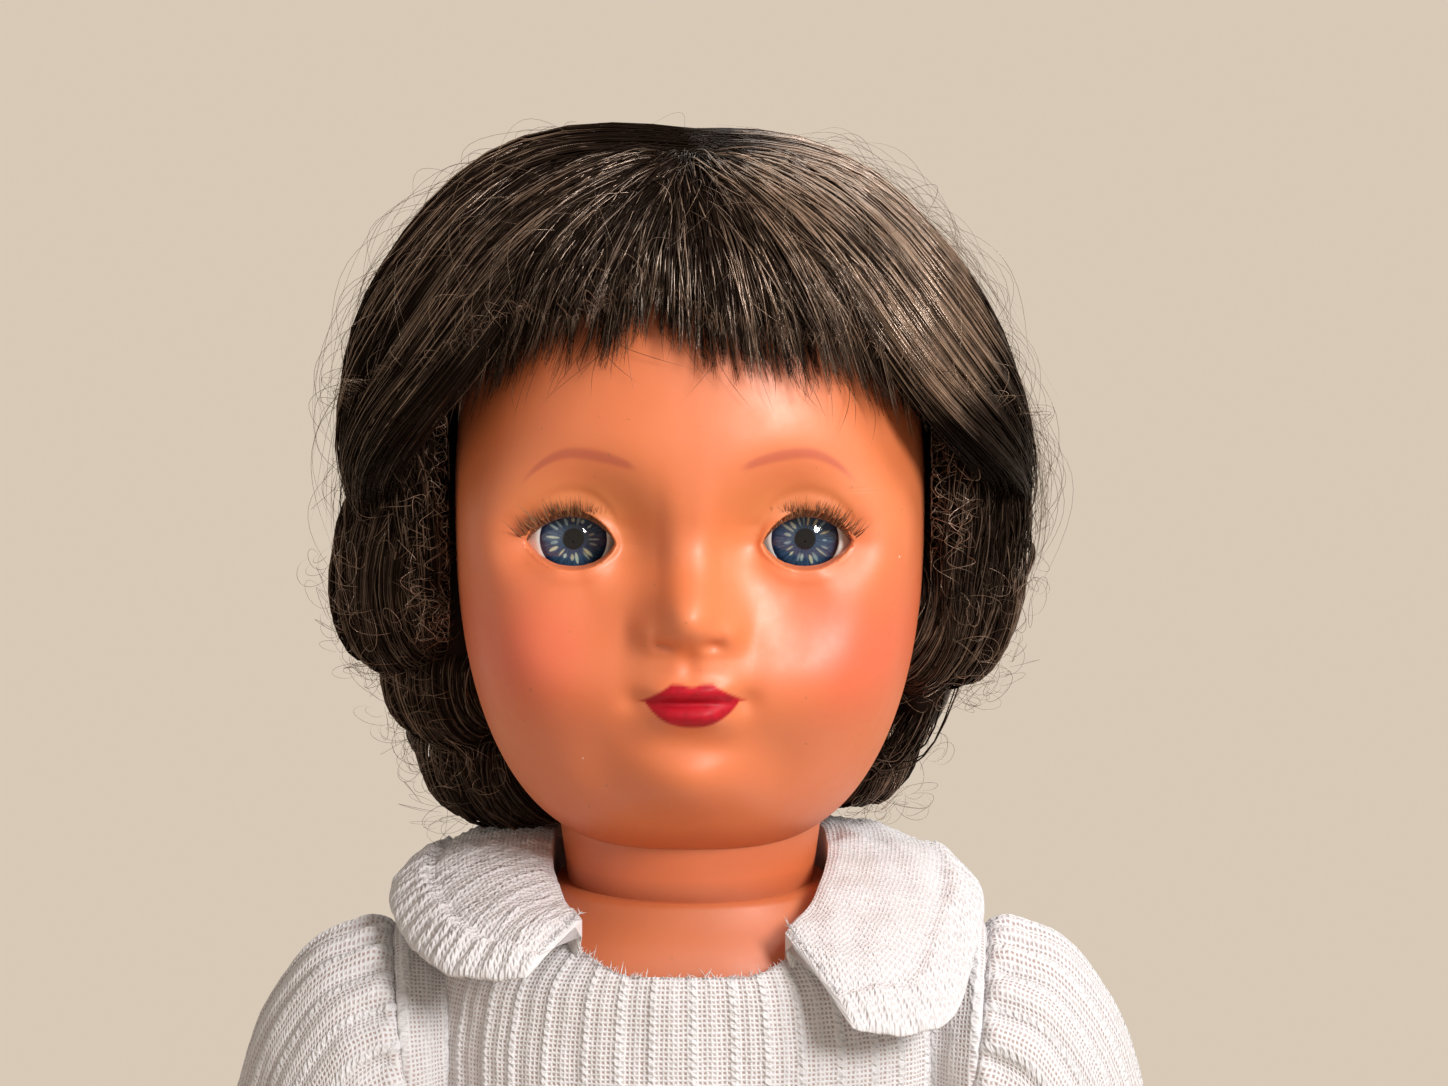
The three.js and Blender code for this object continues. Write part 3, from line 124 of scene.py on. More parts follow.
def through(stations, values, at):
    """A smooth curve through a few values, read at any stations."""
    stations, values = np.asarray(stations, float), np.asarray(values, float)
    slope = np.gradient(values, stations, axis=0)
    k = np.clip(np.searchsorted(stations, at) - 1, 0, len(stations) - 2)
    h = stations[k + 1] - stations[k]
    t = np.clip((at - stations[k]) / h, 0, 1)
    if values.ndim > 1:
        t, h = (v.reshape((-1,) + (1,) * (values.ndim - 1)) for v in (t, h))
    a, b = values[k], values[k + 1]
    return ((2 * t**3 - 3 * t**2 + 1) * a + (t**3 - 2 * t**2 + t) * h * slope[k]
            + (3 * t**2 - 2 * t**3) * b + (t**3 - t**2) * h * slope[k + 1])


# Meshes.

def mesh_piece(name, points, faces, attributes=None, uv=None):
    """A new object from points in millimetres and faces with equal numbers of corners."""
    faces = np.asarray(faces, np.int32)
    count, corners = faces.shape
    mesh = bpy.data.meshes.new(name)
    mesh.vertices.add(len(points))
    mesh.vertices.foreach_set("co", (np.asarray(points, float) * MM).astype(np.float32).ravel())
    mesh.loops.add(count * corners)
    mesh.loops.foreach_set("vertex_index", faces.ravel())
    mesh.polygons.add(count)
    mesh.polygons.foreach_set("loop_start", np.arange(0, count * corners, corners, dtype=np.int32))
    mesh.update(calc_edges=True)
    for key, values in (attributes or {}).items():
        values = np.asarray(values, np.float32)
        if values.ndim == 1:
            mesh.attributes.new(key, "FLOAT", "POINT").data.foreach_set("value", values)
        else:
            colours = np.concatenate([values, np.ones((len(values), 1), np.float32)], 1)
            mesh.attributes.new(key, "FLOAT_COLOR", "POINT").data.foreach_set("color", colours.ravel())
    if uv is not None:
        layer = mesh.uv_layers.new(name="Cloth")
        layer.data.foreach_set("uv", np.asarray(uv, np.float32)[faces.ravel()].ravel())
    mesh.validate()
    mesh.shade_smooth()
    piece = bpy.data.objects.new(name, mesh)
    bpy.context.scene.collection.objects.link(piece)
    return piece


def grid_faces(rows, columns, wrap=False):
    """Faces over a grid of rows by columns, joined round when wrap is set."""
    index = np.arange(rows * columns).reshape(rows, columns)
    if wrap:
        index = np.concatenate([index, index[:, :1]], 1)
    a, b, c, d = index[:-1, :-1], index[:-1, 1:], index[1:, 1:], index[1:, :-1]
    return np.stack([a, b, c, d], -1).reshape(-1, 4)


def join_parts(*parts):
    """One set of points and faces from several."""
    points, faces, start = [], [], 0
    for p, f in parts:
        points.append(p)
        faces.append(f + start)
        start += len(p)
    return np.concatenate(points), np.concatenate(faces)


def capped(rings):
    """Rings of points skinned into a closed form with its ends drawn to points."""
    rows, columns = rings.shape[:2]
    ends = [np.repeat(r.mean(0)[None], columns, 0)[None] for r in (rings[0], rings[-1])]
    full = np.concatenate([ends[0], rings, ends[1]])
    return full.reshape(-1, 3), grid_faces(rows + 2, columns, wrap=True)


def oval_ring(z, half_width, front, back, count, cx=0.0, cy=0.0, power=2.2):
    """A level ring of points, squarer with a higher power."""
    turn = np.arange(count) * TAU / count
    c, s = np.cos(turn), np.sin(turn)
    x = np.sign(c) * np.abs(c) ** (2 / power) * half_width
    y = np.sign(s) * np.abs(s) ** (2 / power) * np.where(s < 0, front, back)
    return np.stack([cx + x, cy + y, np.full(count, z)], -1)


def ball(centre, radii, rows=16, columns=24):
    """An ellipsoid as a closed form."""
    v = np.linspace(-math.pi / 2 + 0.02, math.pi / 2 - 0.02, rows)[:, None]
    u = (np.arange(columns) * TAU / columns)[None]
    shape = np.stack([np.cos(v) * np.cos(u), np.cos(v) * np.sin(u), np.sin(v) + 0 * u], -1)
    return capped(shape * np.asarray(radii, float) + np.asarray(centre, float))


def lathe(profile, columns, axis="z", centre=(0, 0, 0)):
    """A profile of radii and heights turned round Z or X into a closed form."""
    turn = np.arange(columns) * TAU / columns
    r, h = np.array(profile, float).T
    ring = np.stack([r[:, None] * np.cos(turn), r[:, None] * np.sin(turn), h[:, None] + 0 * turn], -1)
    if axis == "x":
        ring = ring[..., [2, 0, 1]]
    return capped(ring + np.asarray(centre, float))


def tubes(paths, radius, tints, toward=HEAD_CENTRE, sides=3):
    """Tapered hairs along many paths at once: paths is hairs by steps by three."""
    hairs, steps = paths.shape[:2]
    along = unit(np.gradient(paths, axis=1))
    out = unit(paths - toward)
    across = unit(np.cross(along, out))
    up = np.cross(across, along)
    t = np.linspace(0, 1, steps)
    taper = np.minimum(1, 0.55 + 3 * t) * (1 - 0.85 * ease(0.6, 1.0, t))
    size = np.asarray(radius)[:, None] * taper
    turn = np.arange(sides) * TAU / sides
    ring = (paths[:, :, None] + size[..., None, None]
            * (np.cos(turn)[:, None] * across[:, :, None] + np.sin(turn)[:, None] * up[:, :, None]))
    faces = grid_faces(steps, sides, wrap=True)
    index = (faces[None] + (np.arange(hairs) * steps * sides)[:, None, None]).reshape(-1, 4)
    tints = np.broadcast_to(np.asarray(tints).reshape(hairs, -1), (hairs, steps))
    return ring.reshape(-1, 3), index, {"tint": np.repeat(tints.ravel(), sides)}


def settle(piece, *modifiers):
    """Adds modifiers given as (type, settings), and keeps their result as the piece's own mesh."""
    for kind, settings in modifiers:
        made = piece.modifiers.new(kind.title(), kind)
        for key, value in settings.items():
            setattr(made, key, value)
    seen = piece.evaluated_get(bpy.context.evaluated_depsgraph_get())
    mesh = bpy.data.meshes.new_from_object(seen)
    piece.modifiers.clear()
    old, piece.data = piece.data, mesh
    bpy.data.meshes.remove(old)
    mesh.shade_smooth()
    return piece


def moulded(name, parts, voxel, smooth):
    """Overlapping closed forms fused into one smooth skin."""
    piece = mesh_piece(name, *join_parts(*parts))
    return settle(piece, ("REMESH", {"mode": "VOXEL", "voxel_size": voxel * MM}),
                  ("SMOOTH", {"factor": 0.5, "iterations": smooth}))


def points_of(piece):
    """A piece's points in millimetres."""
    co = np.empty(len(piece.data.vertices) * 3, np.float32)
    piece.data.vertices.foreach_get("co", co)
    return co.reshape(-1, 3).astype(float) / MM


def move_points(piece, points):
    """Puts a piece's points at new places in millimetres."""
    piece.data.vertices.foreach_set("co", (points * MM).astype(np.float32).ravel())
    piece.data.update()


# Materials.

def new_material(name):
    """A material with its node tree and its main shader."""
    made = bpy.data.materials.new(name)
    made.use_nodes = True
    return made, made.node_tree, made.node_tree.nodes["Principled BSDF"]


def feed(tree, made, inputs):
    """Links a node's inputs to sockets, or sets them to plain values."""
    for key, value in inputs.items():
        if isinstance(value, bpy.types.NodeSocket):
            tree.links.new(value, made.inputs[key])
        else:
            made.inputs[key].default_value = value
    return made


def node(tree, kind, inputs=None, **settings):
    """A new node with its settings and inputs."""
    made = tree.nodes.new(kind)
    for key, value in settings.items():
        setattr(made, key, value)
    return feed(tree, made, inputs or {})


def calc(tree, operation, a, b=0.0, clamp=False):
    return node(tree, "ShaderNodeMath", {0: a, 1: b}, operation=operation, use_clamp=clamp).outputs[0]


def times(tree, a, b, clamp=False):
    return calc(tree, "MULTIPLY", a, b, clamp)


def blend_colours(tree, factor, a, b):
    return node(tree, "ShaderNodeMix", {0: factor, 6: a, 7: b}, data_type="RGBA").outputs[2]


def blend_shaders(tree, factor, a, b):
    return node(tree, "ShaderNodeMixShader", {0: factor, 1: a.outputs[0], 2: b.outputs[0]}).outputs[0]


def read(tree, name, colour=False):
    """What the mesh holds under a name, as a number or a colour."""
    made = node(tree, "ShaderNodeAttribute", attribute_name=name)
    return made.outputs["Color" if colour else "Fac"]


def place(tree):
    """Places on the object, in metres."""
    return node(tree, "ShaderNodeTexCoord").outputs["Object"]


def noise(tree, scale, detail=3.0, where=None, roughness=0.5):
    made = node(tree, "ShaderNodeTexNoise", {"Scale": scale, "Detail": detail, "Roughness": roughness,
                                             "Vector": where or place(tree)})
    return made.outputs["Fac"]


def span(tree, value, low, high, to_low=0.0, to_high=1.0):
    """A value mapped from one range to another and held at its ends."""
    made = node(tree, "ShaderNodeMapRange", {"Value": value, "From Min": low, "From Max": high,
                                             "To Min": to_low, "To Max": to_high})
    return made.outputs["Result"]


def bump(tree, shader, height, distance, strength=1.0):
    """Fine relief on a shader, with its distance in millimetres."""
    made = node(tree, "ShaderNodeBump", {"Height": height, "Distance": distance * MM, "Strength": strength})
    tree.links.new(made.outputs["Normal"], shader.inputs["Normal"])


def rgba(colour):
    return (*colour[:3], 1.0)


def scaled(colour, factors):
    """A colour with each channel times its factor."""
    return [c * k for c, k in zip(colour, factors)]


def skin_material(settings, name, shade=1.0):
    """Moulded celluloid: warm orange, semi-gloss, with painted lips, brows and cheeks."""
    made, tree, shader = new_material(name)
    tone, deep = scaled(settings.skin, [shade] * 3), scaled(settings.skin, (0.86, 0.66, 0.56))
    cloud = span(tree, noise(tree, 38, 4), 0.35, 0.7)
    colour = blend_colours(tree, cloud, rgba(tone), rgba([mix(a, b, 0.42) for a, b in zip(tone, deep)]))
    mottled = times(tree, read(tree, "blush"), span(tree, noise(tree, 160, 3), 0.2, 0.8, 0.75, 1.0))
    lip = blend_colours(tree, span(tree, noise(tree, 700, 2), 0.3, 0.7), rgba(settings.lips),
                        rgba(scaled(settings.lips, [0.72] * 3)))
    fleck = span(tree, noise(tree, 900, 1), 0.76, 0.8)
    nicks = node(tree, "ShaderNodeTexVoronoi", {"Vector": place(tree), "Scale": 190.0})
    chance = node(tree, "ShaderNodeSeparateColor", {0: nicks.outputs["Color"]}).outputs[0]
    nick = times(tree, span(tree, nicks.outputs["Distance"], 0.045, 0.03), span(tree, chance, 0.93, 0.935))
    # Each layer of paint, wear and painted shade: where it lies, how strong it is, and its tone.
    layers = (
        # Painted shade in the eye sockets, at the inner corners and over the upper lids.
        (read(tree, "painted_socket_shade"), 0.3, (0.62, 0.25, 0.055, 1)),
        # Painted shadow of the chin on the neck.
        (read(tree, "painted_chin_shadow"), 1.0, rgba(scaled(deep, (0.8, 0.72, 0.7)))),
        (mottled, 0.62, rgba(settings.blush)),
        (read(tree, "brow"), 0.62, (0.44, 0.062, 0.032, 1)),
        (read(tree, "lips"), 1.0, lip),
        (fleck, 0.35, (0.28, 0.10, 0.04, 1)),
        (nick, 0.8, (0.85, 0.66, 0.55, 1)),
        # Painted shadow: a dark line round the neck, in the gap where it meets the torso.
        (read(tree, "seam"), 0.9, (0.06, 0.018, 0.01, 1)),
    )
    for where, strength, paint in layers:
        colour = blend_colours(tree, times(tree, where, strength), colour, paint)
    feed(tree, shader, {
        "Base Color": colour,
        "Roughness": span(tree, noise(tree, 220, 5, roughness=0.65), 0.3, 0.75, 0.48, 0.62),
        "Specular IOR Level": span(tree, read(tree, "lips"), 0, 1, 1.0, 0.2),
        "Coat Weight": span(tree, read(tree, "lips"), 0, 1, 0.10, 0.05),
        "Coat Roughness": 0.32,
        "Subsurface Weight": 0.16,
        "Subsurface Radius": (1.0, 0.35, 0.15),
        "Subsurface Scale": 0.004,
        "IOR": 1.5,
    })
    stretched = node(tree, "ShaderNodeMapping", {"Vector": place(tree), "Scale": (60, 60, 900)}).outputs[0]
    scratch = span(tree, noise(tree, 1.0, 2, stretched), 0.7, 0.74)
    grain = calc(tree, "ADD", times(tree, noise(tree, 420, 4), 0.7), times(tree, scratch, -0.25))
    bump(tree, shader, grain, 0.09, 0.5)
    return made


def hair_material(settings, name, lift=1.0, gloss=1.0):
    """Dark brown wig hair, each hair with its own tint, which in the combed hair also holds painted sheen and
    shade.
    """
    made, tree, shader = new_material(name)
    pale = [min(1, c * lift) for c in settings.hair_pale]
    streak = times(tree, read(tree, "tint"), span(tree, noise(tree, 320, 3), 0.25, 0.75, 0.5, 1.2))
    share = calc(tree, "POWER", streak, 1.6, True)
    feed(tree, shader, {
        "Base Color": blend_colours(tree, share, rgba(settings.hair), rgba(pale)),
        "Roughness": span(tree, noise(tree, 500, 2), 0.3, 0.7, 0.15, 0.28),
        "Specular IOR Level": span(tree, streak, 0.12, 0.6, 0.02 * gloss, gloss),
        "Specular Tint": (1.0, 0.80, 0.66, 1),
        "IOR": 1.8,
    })
    return made


def cotton_material(settings):
    """White openwork cotton: close ribs between strips of thin gauze."""
    made, tree, shader = new_material("Ribbed Cotton")
    uv = node(tree, "ShaderNodeUVMap", uv_map="Cloth").outputs[0]
    drift = node(tree, "ShaderNodeTexNoise", {"Scale": 0.9, "Detail": 3.0, "Vector": uv})
    drift = node(tree, "ShaderNodeVectorMath", {0: drift.outputs["Color"], "Scale": 0.45}, operation="SCALE")
    wander = node(tree, "ShaderNodeVectorMath", {0: uv, 1: drift.outputs[0]}, operation="ADD")
    across, along, _ = node(tree, "ShaderNodeSeparateXYZ", {0: wander.outputs[0]}).outputs
    rib = read(tree, "rib")
    warp = calc(tree, "SINE", times(tree, across, TAU / 0.70))
    weft = calc(tree, "SINE", times(tree, along, TAU / 0.72))
    thread = calc(tree, "MAXIMUM", warp, weft)
    # The holes in the gauze are painted dark pinkish brown: painted shade of the skin seen through them.
    hole = span(tree, thread, 0.1, -0.4)
    hole_shade = times(tree, hole, span(tree, rib, 0.7, 0.2), True)
    slant = calc(tree, "ADD", times(tree, along, TAU / 1.25), times(tree, across, 2.4))
    stitch = times(tree, span(tree, calc(tree, "SINE", slant), -0.6, 0.9), span(tree, rib, 0.35, 0.75))
    slub = noise(tree, 1.1, 4, uv)
    white, shade = settings.cotton, scaled(settings.cotton, (0.86, 0.79, 0.79))
    half_shade = rgba([mix(a, b, 0.45) for a, b in zip(white, shade)])
    base = blend_colours(tree, span(tree, slub, 0.3, 0.75), rgba(white), half_shade)
    feed(tree, shader, {
        "Base Color": blend_colours(tree, times(tree, hole_shade, 0.8), base, (0.42, 0.28, 0.25, 1)),
        "Roughness": span(tree, slub, 0.2, 0.8, 0.82, 0.95),
        "Sheen Weight": 0.25,
        "Specular IOR Level": 0.2,
        "Subsurface Weight": 0.12,
        "Subsurface Radius": (1.0, 0.9, 0.85),
        "Subsurface Scale": 0.0015,
    })
    weave = calc(tree, "ADD", times(tree, thread, 0.4), times(tree, slub, 0.8))
    bump(tree, shader, calc(tree, "ADD", weave, times(tree, stitch, 0.9)), 0.26, 0.9)
    return made


def plain_material(name, colour, roughness, scale, spread=0.25, metallic=0.0, depth=0.04):
    """A small hidden part's finish: a mottled tone and a fine grain."""
    made, tree, shader = new_material(name)
    grain = noise(tree, scale, 4)
    dull = [c * (1 - spread) for c in colour]
    feed(tree, shader, {
        "Base Color": blend_colours(tree, span(tree, grain, 0.3, 0.7), rgba(colour), rgba(dull)),
        "Roughness": span(tree, grain, 0.2, 0.8, roughness - 0.07, roughness + 0.07),
        "Metallic": metallic,
    })
    bump(tree, shader, grain, depth, 0.4)
    return made


def wear(piece, material, body=None, replaces=()):
    """Gives a piece its finish, the body that it rides on, and the nodes that it stands for."""
    piece.data.materials.clear()
    piece.data.materials.append(material)
    if body:
        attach(piece, body)
    if replaces:
        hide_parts(*replaces)
    return piece


# The head's form: a direction from its middle gives a distance.

def head_distance(d):
    """How far the plain head's surface lies along each direction."""
    x, y, z = d[..., 0], d[..., 1], d[..., 2]
    frontness = ease(-0.45, 0.45, -y / np.maximum(np.hypot(x, y), 1e-9))
    depth = np.where(y < 0, FACE_DEPTH, BACK_DEPTH)
    rise = np.where(z < 0, mix(NAPE_DROP, HEAD_MIDDLE - CHIN, frontness), HEAD_TOP - HEAD_MIDDLE)
    power = np.where(z < 0, mix(2.4, 2.7, frontness), CROWN_POWER)
    sides = np.abs(x / HEAD_HALF_WIDTH) ** HEAD_POWER + np.abs(y / depth) ** HEAD_POWER
    level = sides ** (1 / HEAD_POWER)
    return (level**power + np.abs(z / rise) ** power) ** (-1 / power)


def direction(azimuth, elevation):
    """Unit vectors from azimuth, 0 at the face and growing to the doll's left, and elevation."""
    c = np.cos(elevation)
    return np.stack([c * np.sin(azimuth), -c * np.cos(azimuth), np.sin(elevation) + 0 * azimuth], -1)


def almond(x):
    """An eye opening's height at x from its middle, as a share: shorter to the nose."""
    return np.maximum(0, 1 - (x / np.where(x < 0, OPENING - 0.7, OPENING)) ** 2)


def upper_rim(x):
    """Height of an eye opening's upper edge above the eye's middle."""
    return OPENING_UP * almond(x) ** 0.72


def lower_rim(x):
    """Height of an eye opening's lower edge, below the eye's middle."""
    return -OPENING_DOWN * almond(x) ** 0.66


def from_eye(x, z):
    """Place of a point from the middle of the eye on its own side: across and up."""
    return np.abs(x) - EYE_SPREAD, z - EYE_HEIGHT


def in_opening(dx, dz):
    return (np.abs(dx) < OPENING) & (dz < upper_rim(dx)) & (dz > lower_rim(dx))


def rim_depth(dx, dz):
    """Y of the rim round an eye's opening: just clear of the lid, and further out at the inner corner."""
    ball_front = np.sqrt(np.maximum(4, (EYE_ROOM + RIM) ** 2 - dx**2 - dz**2))
    forward = (1.2 + 1.8 * ease(2.5, -3.5, dz)) * ease(8.5, 1.5, np.abs(dx)) + 2.4 * ease(-0.5, -7.5, dx)
    return EYE_Y - ball_front - forward


def face_relief(x, z):
    """How far the face stands out from the plain head: nose, lips, chin, cheeks and brow."""
    u, wide, up = np.abs(x), np.sqrt(x**2 + 36), z - NOSE_TIP
    bridge = ease(12, -1, up) * ease(-8.5, -3, up)
    out = 3.0 * bridge * np.exp(-((u / mix(5.4, 6.4, ease(9, -4, up))) ** 1.9))
    out += 4.7 * np.exp(-(((up + 1.0) / 4.6) ** 2) - (u / 6.2) ** 2.3)
    out += 1.5 * hump(u, z, 6.2, NOSE_TIP - 4.4, 2.1, 2.3)
    out -= 1.6 * hump(x, z, 0, EYE_HEIGHT - 1.5, 10, 6.5)
    out += 3.0 * hump(x, z, 0, MOUTH + 1, 12, 9)
    out += 1.5 * np.exp(-(((z - MOUTH - 1.9) / 1.5) ** 2) - (x / 5.8) ** 4)
    out += 1.9 * np.exp(-(((z - MOUTH + 2.2) / 1.7) ** 2) - (x / 5) ** 4)
    out -= 0.9 * hump(u, z, 8.4, MOUTH, 2, 2)
    out -= 1.3 * hump(x, z, 0, MOUTH - 7, 7, 2.6)
    out += 4.4 * hump(x, z, 0, MOUTH - 13.5, 8.6, 6.0)
    out += 5.2 * hump(wide, z, 25.5, MOUTH + 2.5, 13, 11.5)
    out -= 0.45 * np.exp(-(((u - 9.2) / 2.6) ** 2) - ((z - MOUTH - 2) / 8) ** 4)
    out -= 1.0 * hump(u, z, 13, MOUTH - 10, 4.5, 6)
    out += 0.5 * hump(wide, z, EYE_SPREAD + 1, BROW, 14, 5.5)
    # Finer modelling: the line of the mouth, the groove over the lip, nostrils and the wings' creases.
    out -= 0.75 * np.exp(-(((z - MOUTH) / 0.55) ** 2) - (x / 6.6) ** 4)
    out -= 0.55 * hump(x, z, 0, MOUTH + 6.0, 1.4, 2.2)
    out -= 1.3 * hump(u, z, 3.6, NOSE_TIP - 6.0, 1.4, 0.9)
    out -= 0.32 * hump(u, z, 5.0, NOSE_TIP - 4.6, 0.9, 1.7)
    out -= 0.35 * hump(u, z, 9.4, NOSE_TIP - 4.4, 1.5, 2.8)
    return out


def face_folds(x, z):
    """Fine folds over and under the eyes."""
    dx, dz = from_eye(x, z)
    near = np.exp(-((dx / 8.5) ** 4))
    fold = -0.28 * np.exp(-(((dz - upper_rim(dx) - 2.8) / 1.0) ** 2))
    return near * (fold + 0.12 * np.exp(-(((dz - lower_rim(dx) + 1.2) / 0.9) ** 2)))


def head_skin_points(azimuth, elevation):
    """Points of the moulded head, face and eye sockets."""
    d = direction(azimuth, elevation)
    p = d * head_distance(d)[..., None] + HEAD_CENTRE
    front = ease(0.12, 0.5, -d[..., 1])
    x, z = p[..., 0], p[..., 2]
    y = p[..., 1] - front * face_relief(x, z)
    dx, dz = from_eye(x, z)
    # The sockets: level with the rim at the opening, and gently out to the face all round.
    ring = np.maximum(np.hypot(dx, dz), 1e-6)
    pull = np.maximum(1, np.hypot(dx / OPENING, dz / np.where(dz > 0, OPENING_UP, OPENING_DOWN)))
    soft = (6.0 * np.minimum(0, dx / ring) ** 2 + 9.5 * np.maximum(0, dx / ring) ** 2
            + np.where(dz > 0, 7.2, 12.0) * (dz / ring) ** 2)
    sunk = np.exp(-((ring * (1 - 1 / pull) / soft) ** 2)) * ease(0, 5, np.abs(x))
    y = mix(y, rim_depth(dx / pull, dz / pull), front * sunk) - front * face_folds(x, z)
    p[..., 1] = y
    return p


def lip_paint(x, z):
    """Where the lips are painted."""
    middle = 0.5
    a = (x - middle) / 8.0
    up = 3.1 * np.clip((1 - np.abs(a)) / 0.62, 0, 1) ** 1.15 - 0.34 * np.exp(-(((x - middle) / 1.1) ** 2))
    down = -3.8 * np.maximum(0, 1 - np.abs((x - middle) / 7.0) ** 2.1) ** 0.85
    inside = np.minimum(up - (z - MOUTH), (z - MOUTH) - down)
    return np.clip(inside / 0.4 + 0.5, 0, 1) * (np.abs(a) < 1.02)


def brow_paint(x, z):
    """Where the thin arched brows are painted."""
    u = np.abs(x)
    peak = 16.7
    middle = BROW - np.where(u < peak, 2.0 * ((peak - u) / 9.2) ** 2, 5.8 * ((u - peak) / 8.8) ** 2)
    s = np.clip((u - 7.2) / 18.6, 0, 1)
    half = 0.22 + 0.68 * np.sin(math.pi * s ** 0.75) ** 0.7
    return np.exp(-(((z - middle) / half) ** 4)) * ease(0, 0.12, s) * ease(1, 0.8, s)


def skin_paint(p):
    """Paint and painted shade on the head by place: each is 0 where there is none and 1 where it is full."""
    x, z, u = p[:, 0], p[:, 2], np.abs(p[:, 0])
    face = (p[:, 1] < -6).astype(float)
    dx, dz = from_eye(x, z)
    return {
        "lips": face * lip_paint(x, z),
        "brow": face * brow_paint(x, z),
        "blush": hump(u, z, 26, EYE_HEIGHT - 16.5, 11, 10) * ease(4, -14, p[:, 1]),
        # Painted shade in the eye sockets: at the inner corners and over the upper lids.
        "painted_socket_shade": np.clip(face * (0.8 * hump(u, z, 10, EYE_HEIGHT + 3.5, 4.6, 6.5)
                                 + 0.8 * hump(dx, dz, 0, 6.6, 9.5, 3.4)), 0, 1),
        # Painted shadow of the chin, darkest low on the neck.
        "painted_chin_shadow": 0.42 * ease(404, 392, z) * ease(30, 24, np.hypot(x, p[:, 1] - NECK_Y)),
        # Painted shadow of the gap where the neck meets the torso, as a thin dark line.
        "seam": np.exp(-(((z - NECK_RING - 0.8) / 0.22) ** 2)),
    }


def open_eyes(points, faces):
    """Takes out the faces inside the eye openings, and draws the points left inside out to the rim."""
    dx, dz = from_eye(points[:, 0], points[:, 2])
    inside = in_opening(dx, dz) & (points[:, 1] < EYE_Y)
    faces = faces[~inside[faces].all(1)]
    step, least = 1.012, 0.004
    for _ in range(40):
        dx, dz = from_eye(points[:, 0], points[:, 2])
        still = inside & in_opening(dx, dz)
        side = np.sign(points[still, 0])
        points[still, 0] = side * (EYE_SPREAD + dx[still] * step + np.sign(dx[still]) * least)
        points[still, 2] = EYE_HEIGHT + dz[still] * step + np.sign(dz[still]) * least
    dx, dz = from_eye(points[:, 0], points[:, 2])
    points[inside, 1] = rim_depth(dx, dz)[inside]
    used = np.unique(faces)
    renumber = np.full(len(points), -1)
    renumber[used] = np.arange(len(used))
    return points[used], renumber[faces]


def turn_in_rims(points, faces):
    """Adds the rim that turns in over each eye, from the border of its opening."""
    edges = np.concatenate([faces[:, [k, (k + 1) % 4]] for k in range(4)])
    _, where, count = np.unique(np.sort(edges, 1), axis=0, return_index=True, return_counts=True)
    border = edges[where[count == 1]]
    ends = points[border]
    border = border[(np.abs(ends[..., 2] - EYE_HEIGHT) < 6).all(1) & (ends[..., 1] < EYE_Y).all(1)]
    rim, rim_at = np.unique(border, return_inverse=True)
    rim_at, edge = rim_at.reshape(-1, 2), points[rim]
    eye = np.array([EYE_SPREAD, 0, 0]) * np.sign(edge[:, :1]) + np.array([0, 0, EYE_HEIGHT])
    layers, extra, lower = [], [], border
    for shrink, back in ((0.975, 0.12), (0.955, 0.42), (0.95, 0.9), (0.955, 4.2)):
        ring = eye + (edge - eye) * np.array([shrink, 1, shrink])
        ring[:, 1] = edge[:, 1] + back
        upper = len(points) + len(rim) * len(layers) + rim_at
        extra.append(np.stack([lower[:, 1], lower[:, 0], upper[:, 0], upper[:, 1]], 1))
        layers.append(ring)
        lower = upper
    return np.concatenate([points, *layers]), np.concatenate([faces, *extra])


def build_head(skin):
    """The head with its face, open eyes and neck."""
    columns = 400
    turn = np.arange(columns) * TAU / columns
    azimuth = turn - 0.5 * np.sin(turn)
    elevation = np.radians(np.concatenate([np.linspace(-84, -62, 12, False), np.linspace(-62, 24, 196, False),
                                           np.linspace(24, 56, 24)]))
    points = head_skin_points(*np.meshgrid(azimuth, elevation)).reshape(-1, 3)
    faces = grid_faces(len(elevation), columns, wrap=True)
    # The skin ends at the pate, and a little higher under the fringe.
    top = PATE + 8 * ease(-10, -30, points[:, 1])
    faces = faces[~(points[:, 2] > top)[faces].any(1)]
    points, faces = turn_in_rims(*open_eyes(points, faces))
    neck = lathe([(0.5, NECK_TOP), (NECK_RADIUS + 2.2, NECK_TOP), (NECK_RADIUS + 1.9, CHIN + 9),
                  (NECK_RADIUS + 0.9, NECK_RING + 8), (NECK_RADIUS + 0.35, NECK_RING + 4),
                  (NECK_RADIUS, NECK_RING + 1), (NECK_RADIUS - 0.5, NECK_RING - 2),
                  (NECK_RADIUS - 4.2, NECK_RING - 7), (NECK_RADIUS - 10, NECK_RING - 9.6),
                  (4.2, NECK_RING - 10.3)], 128, centre=(0, NECK_Y, 0))
    points, faces = join_parts((points, faces), neck)
    head = mesh_piece("head_skin", points, faces, skin_paint(points))
    return wear(head, skin, "head", ["head_shell"])


# Sleep eyes.

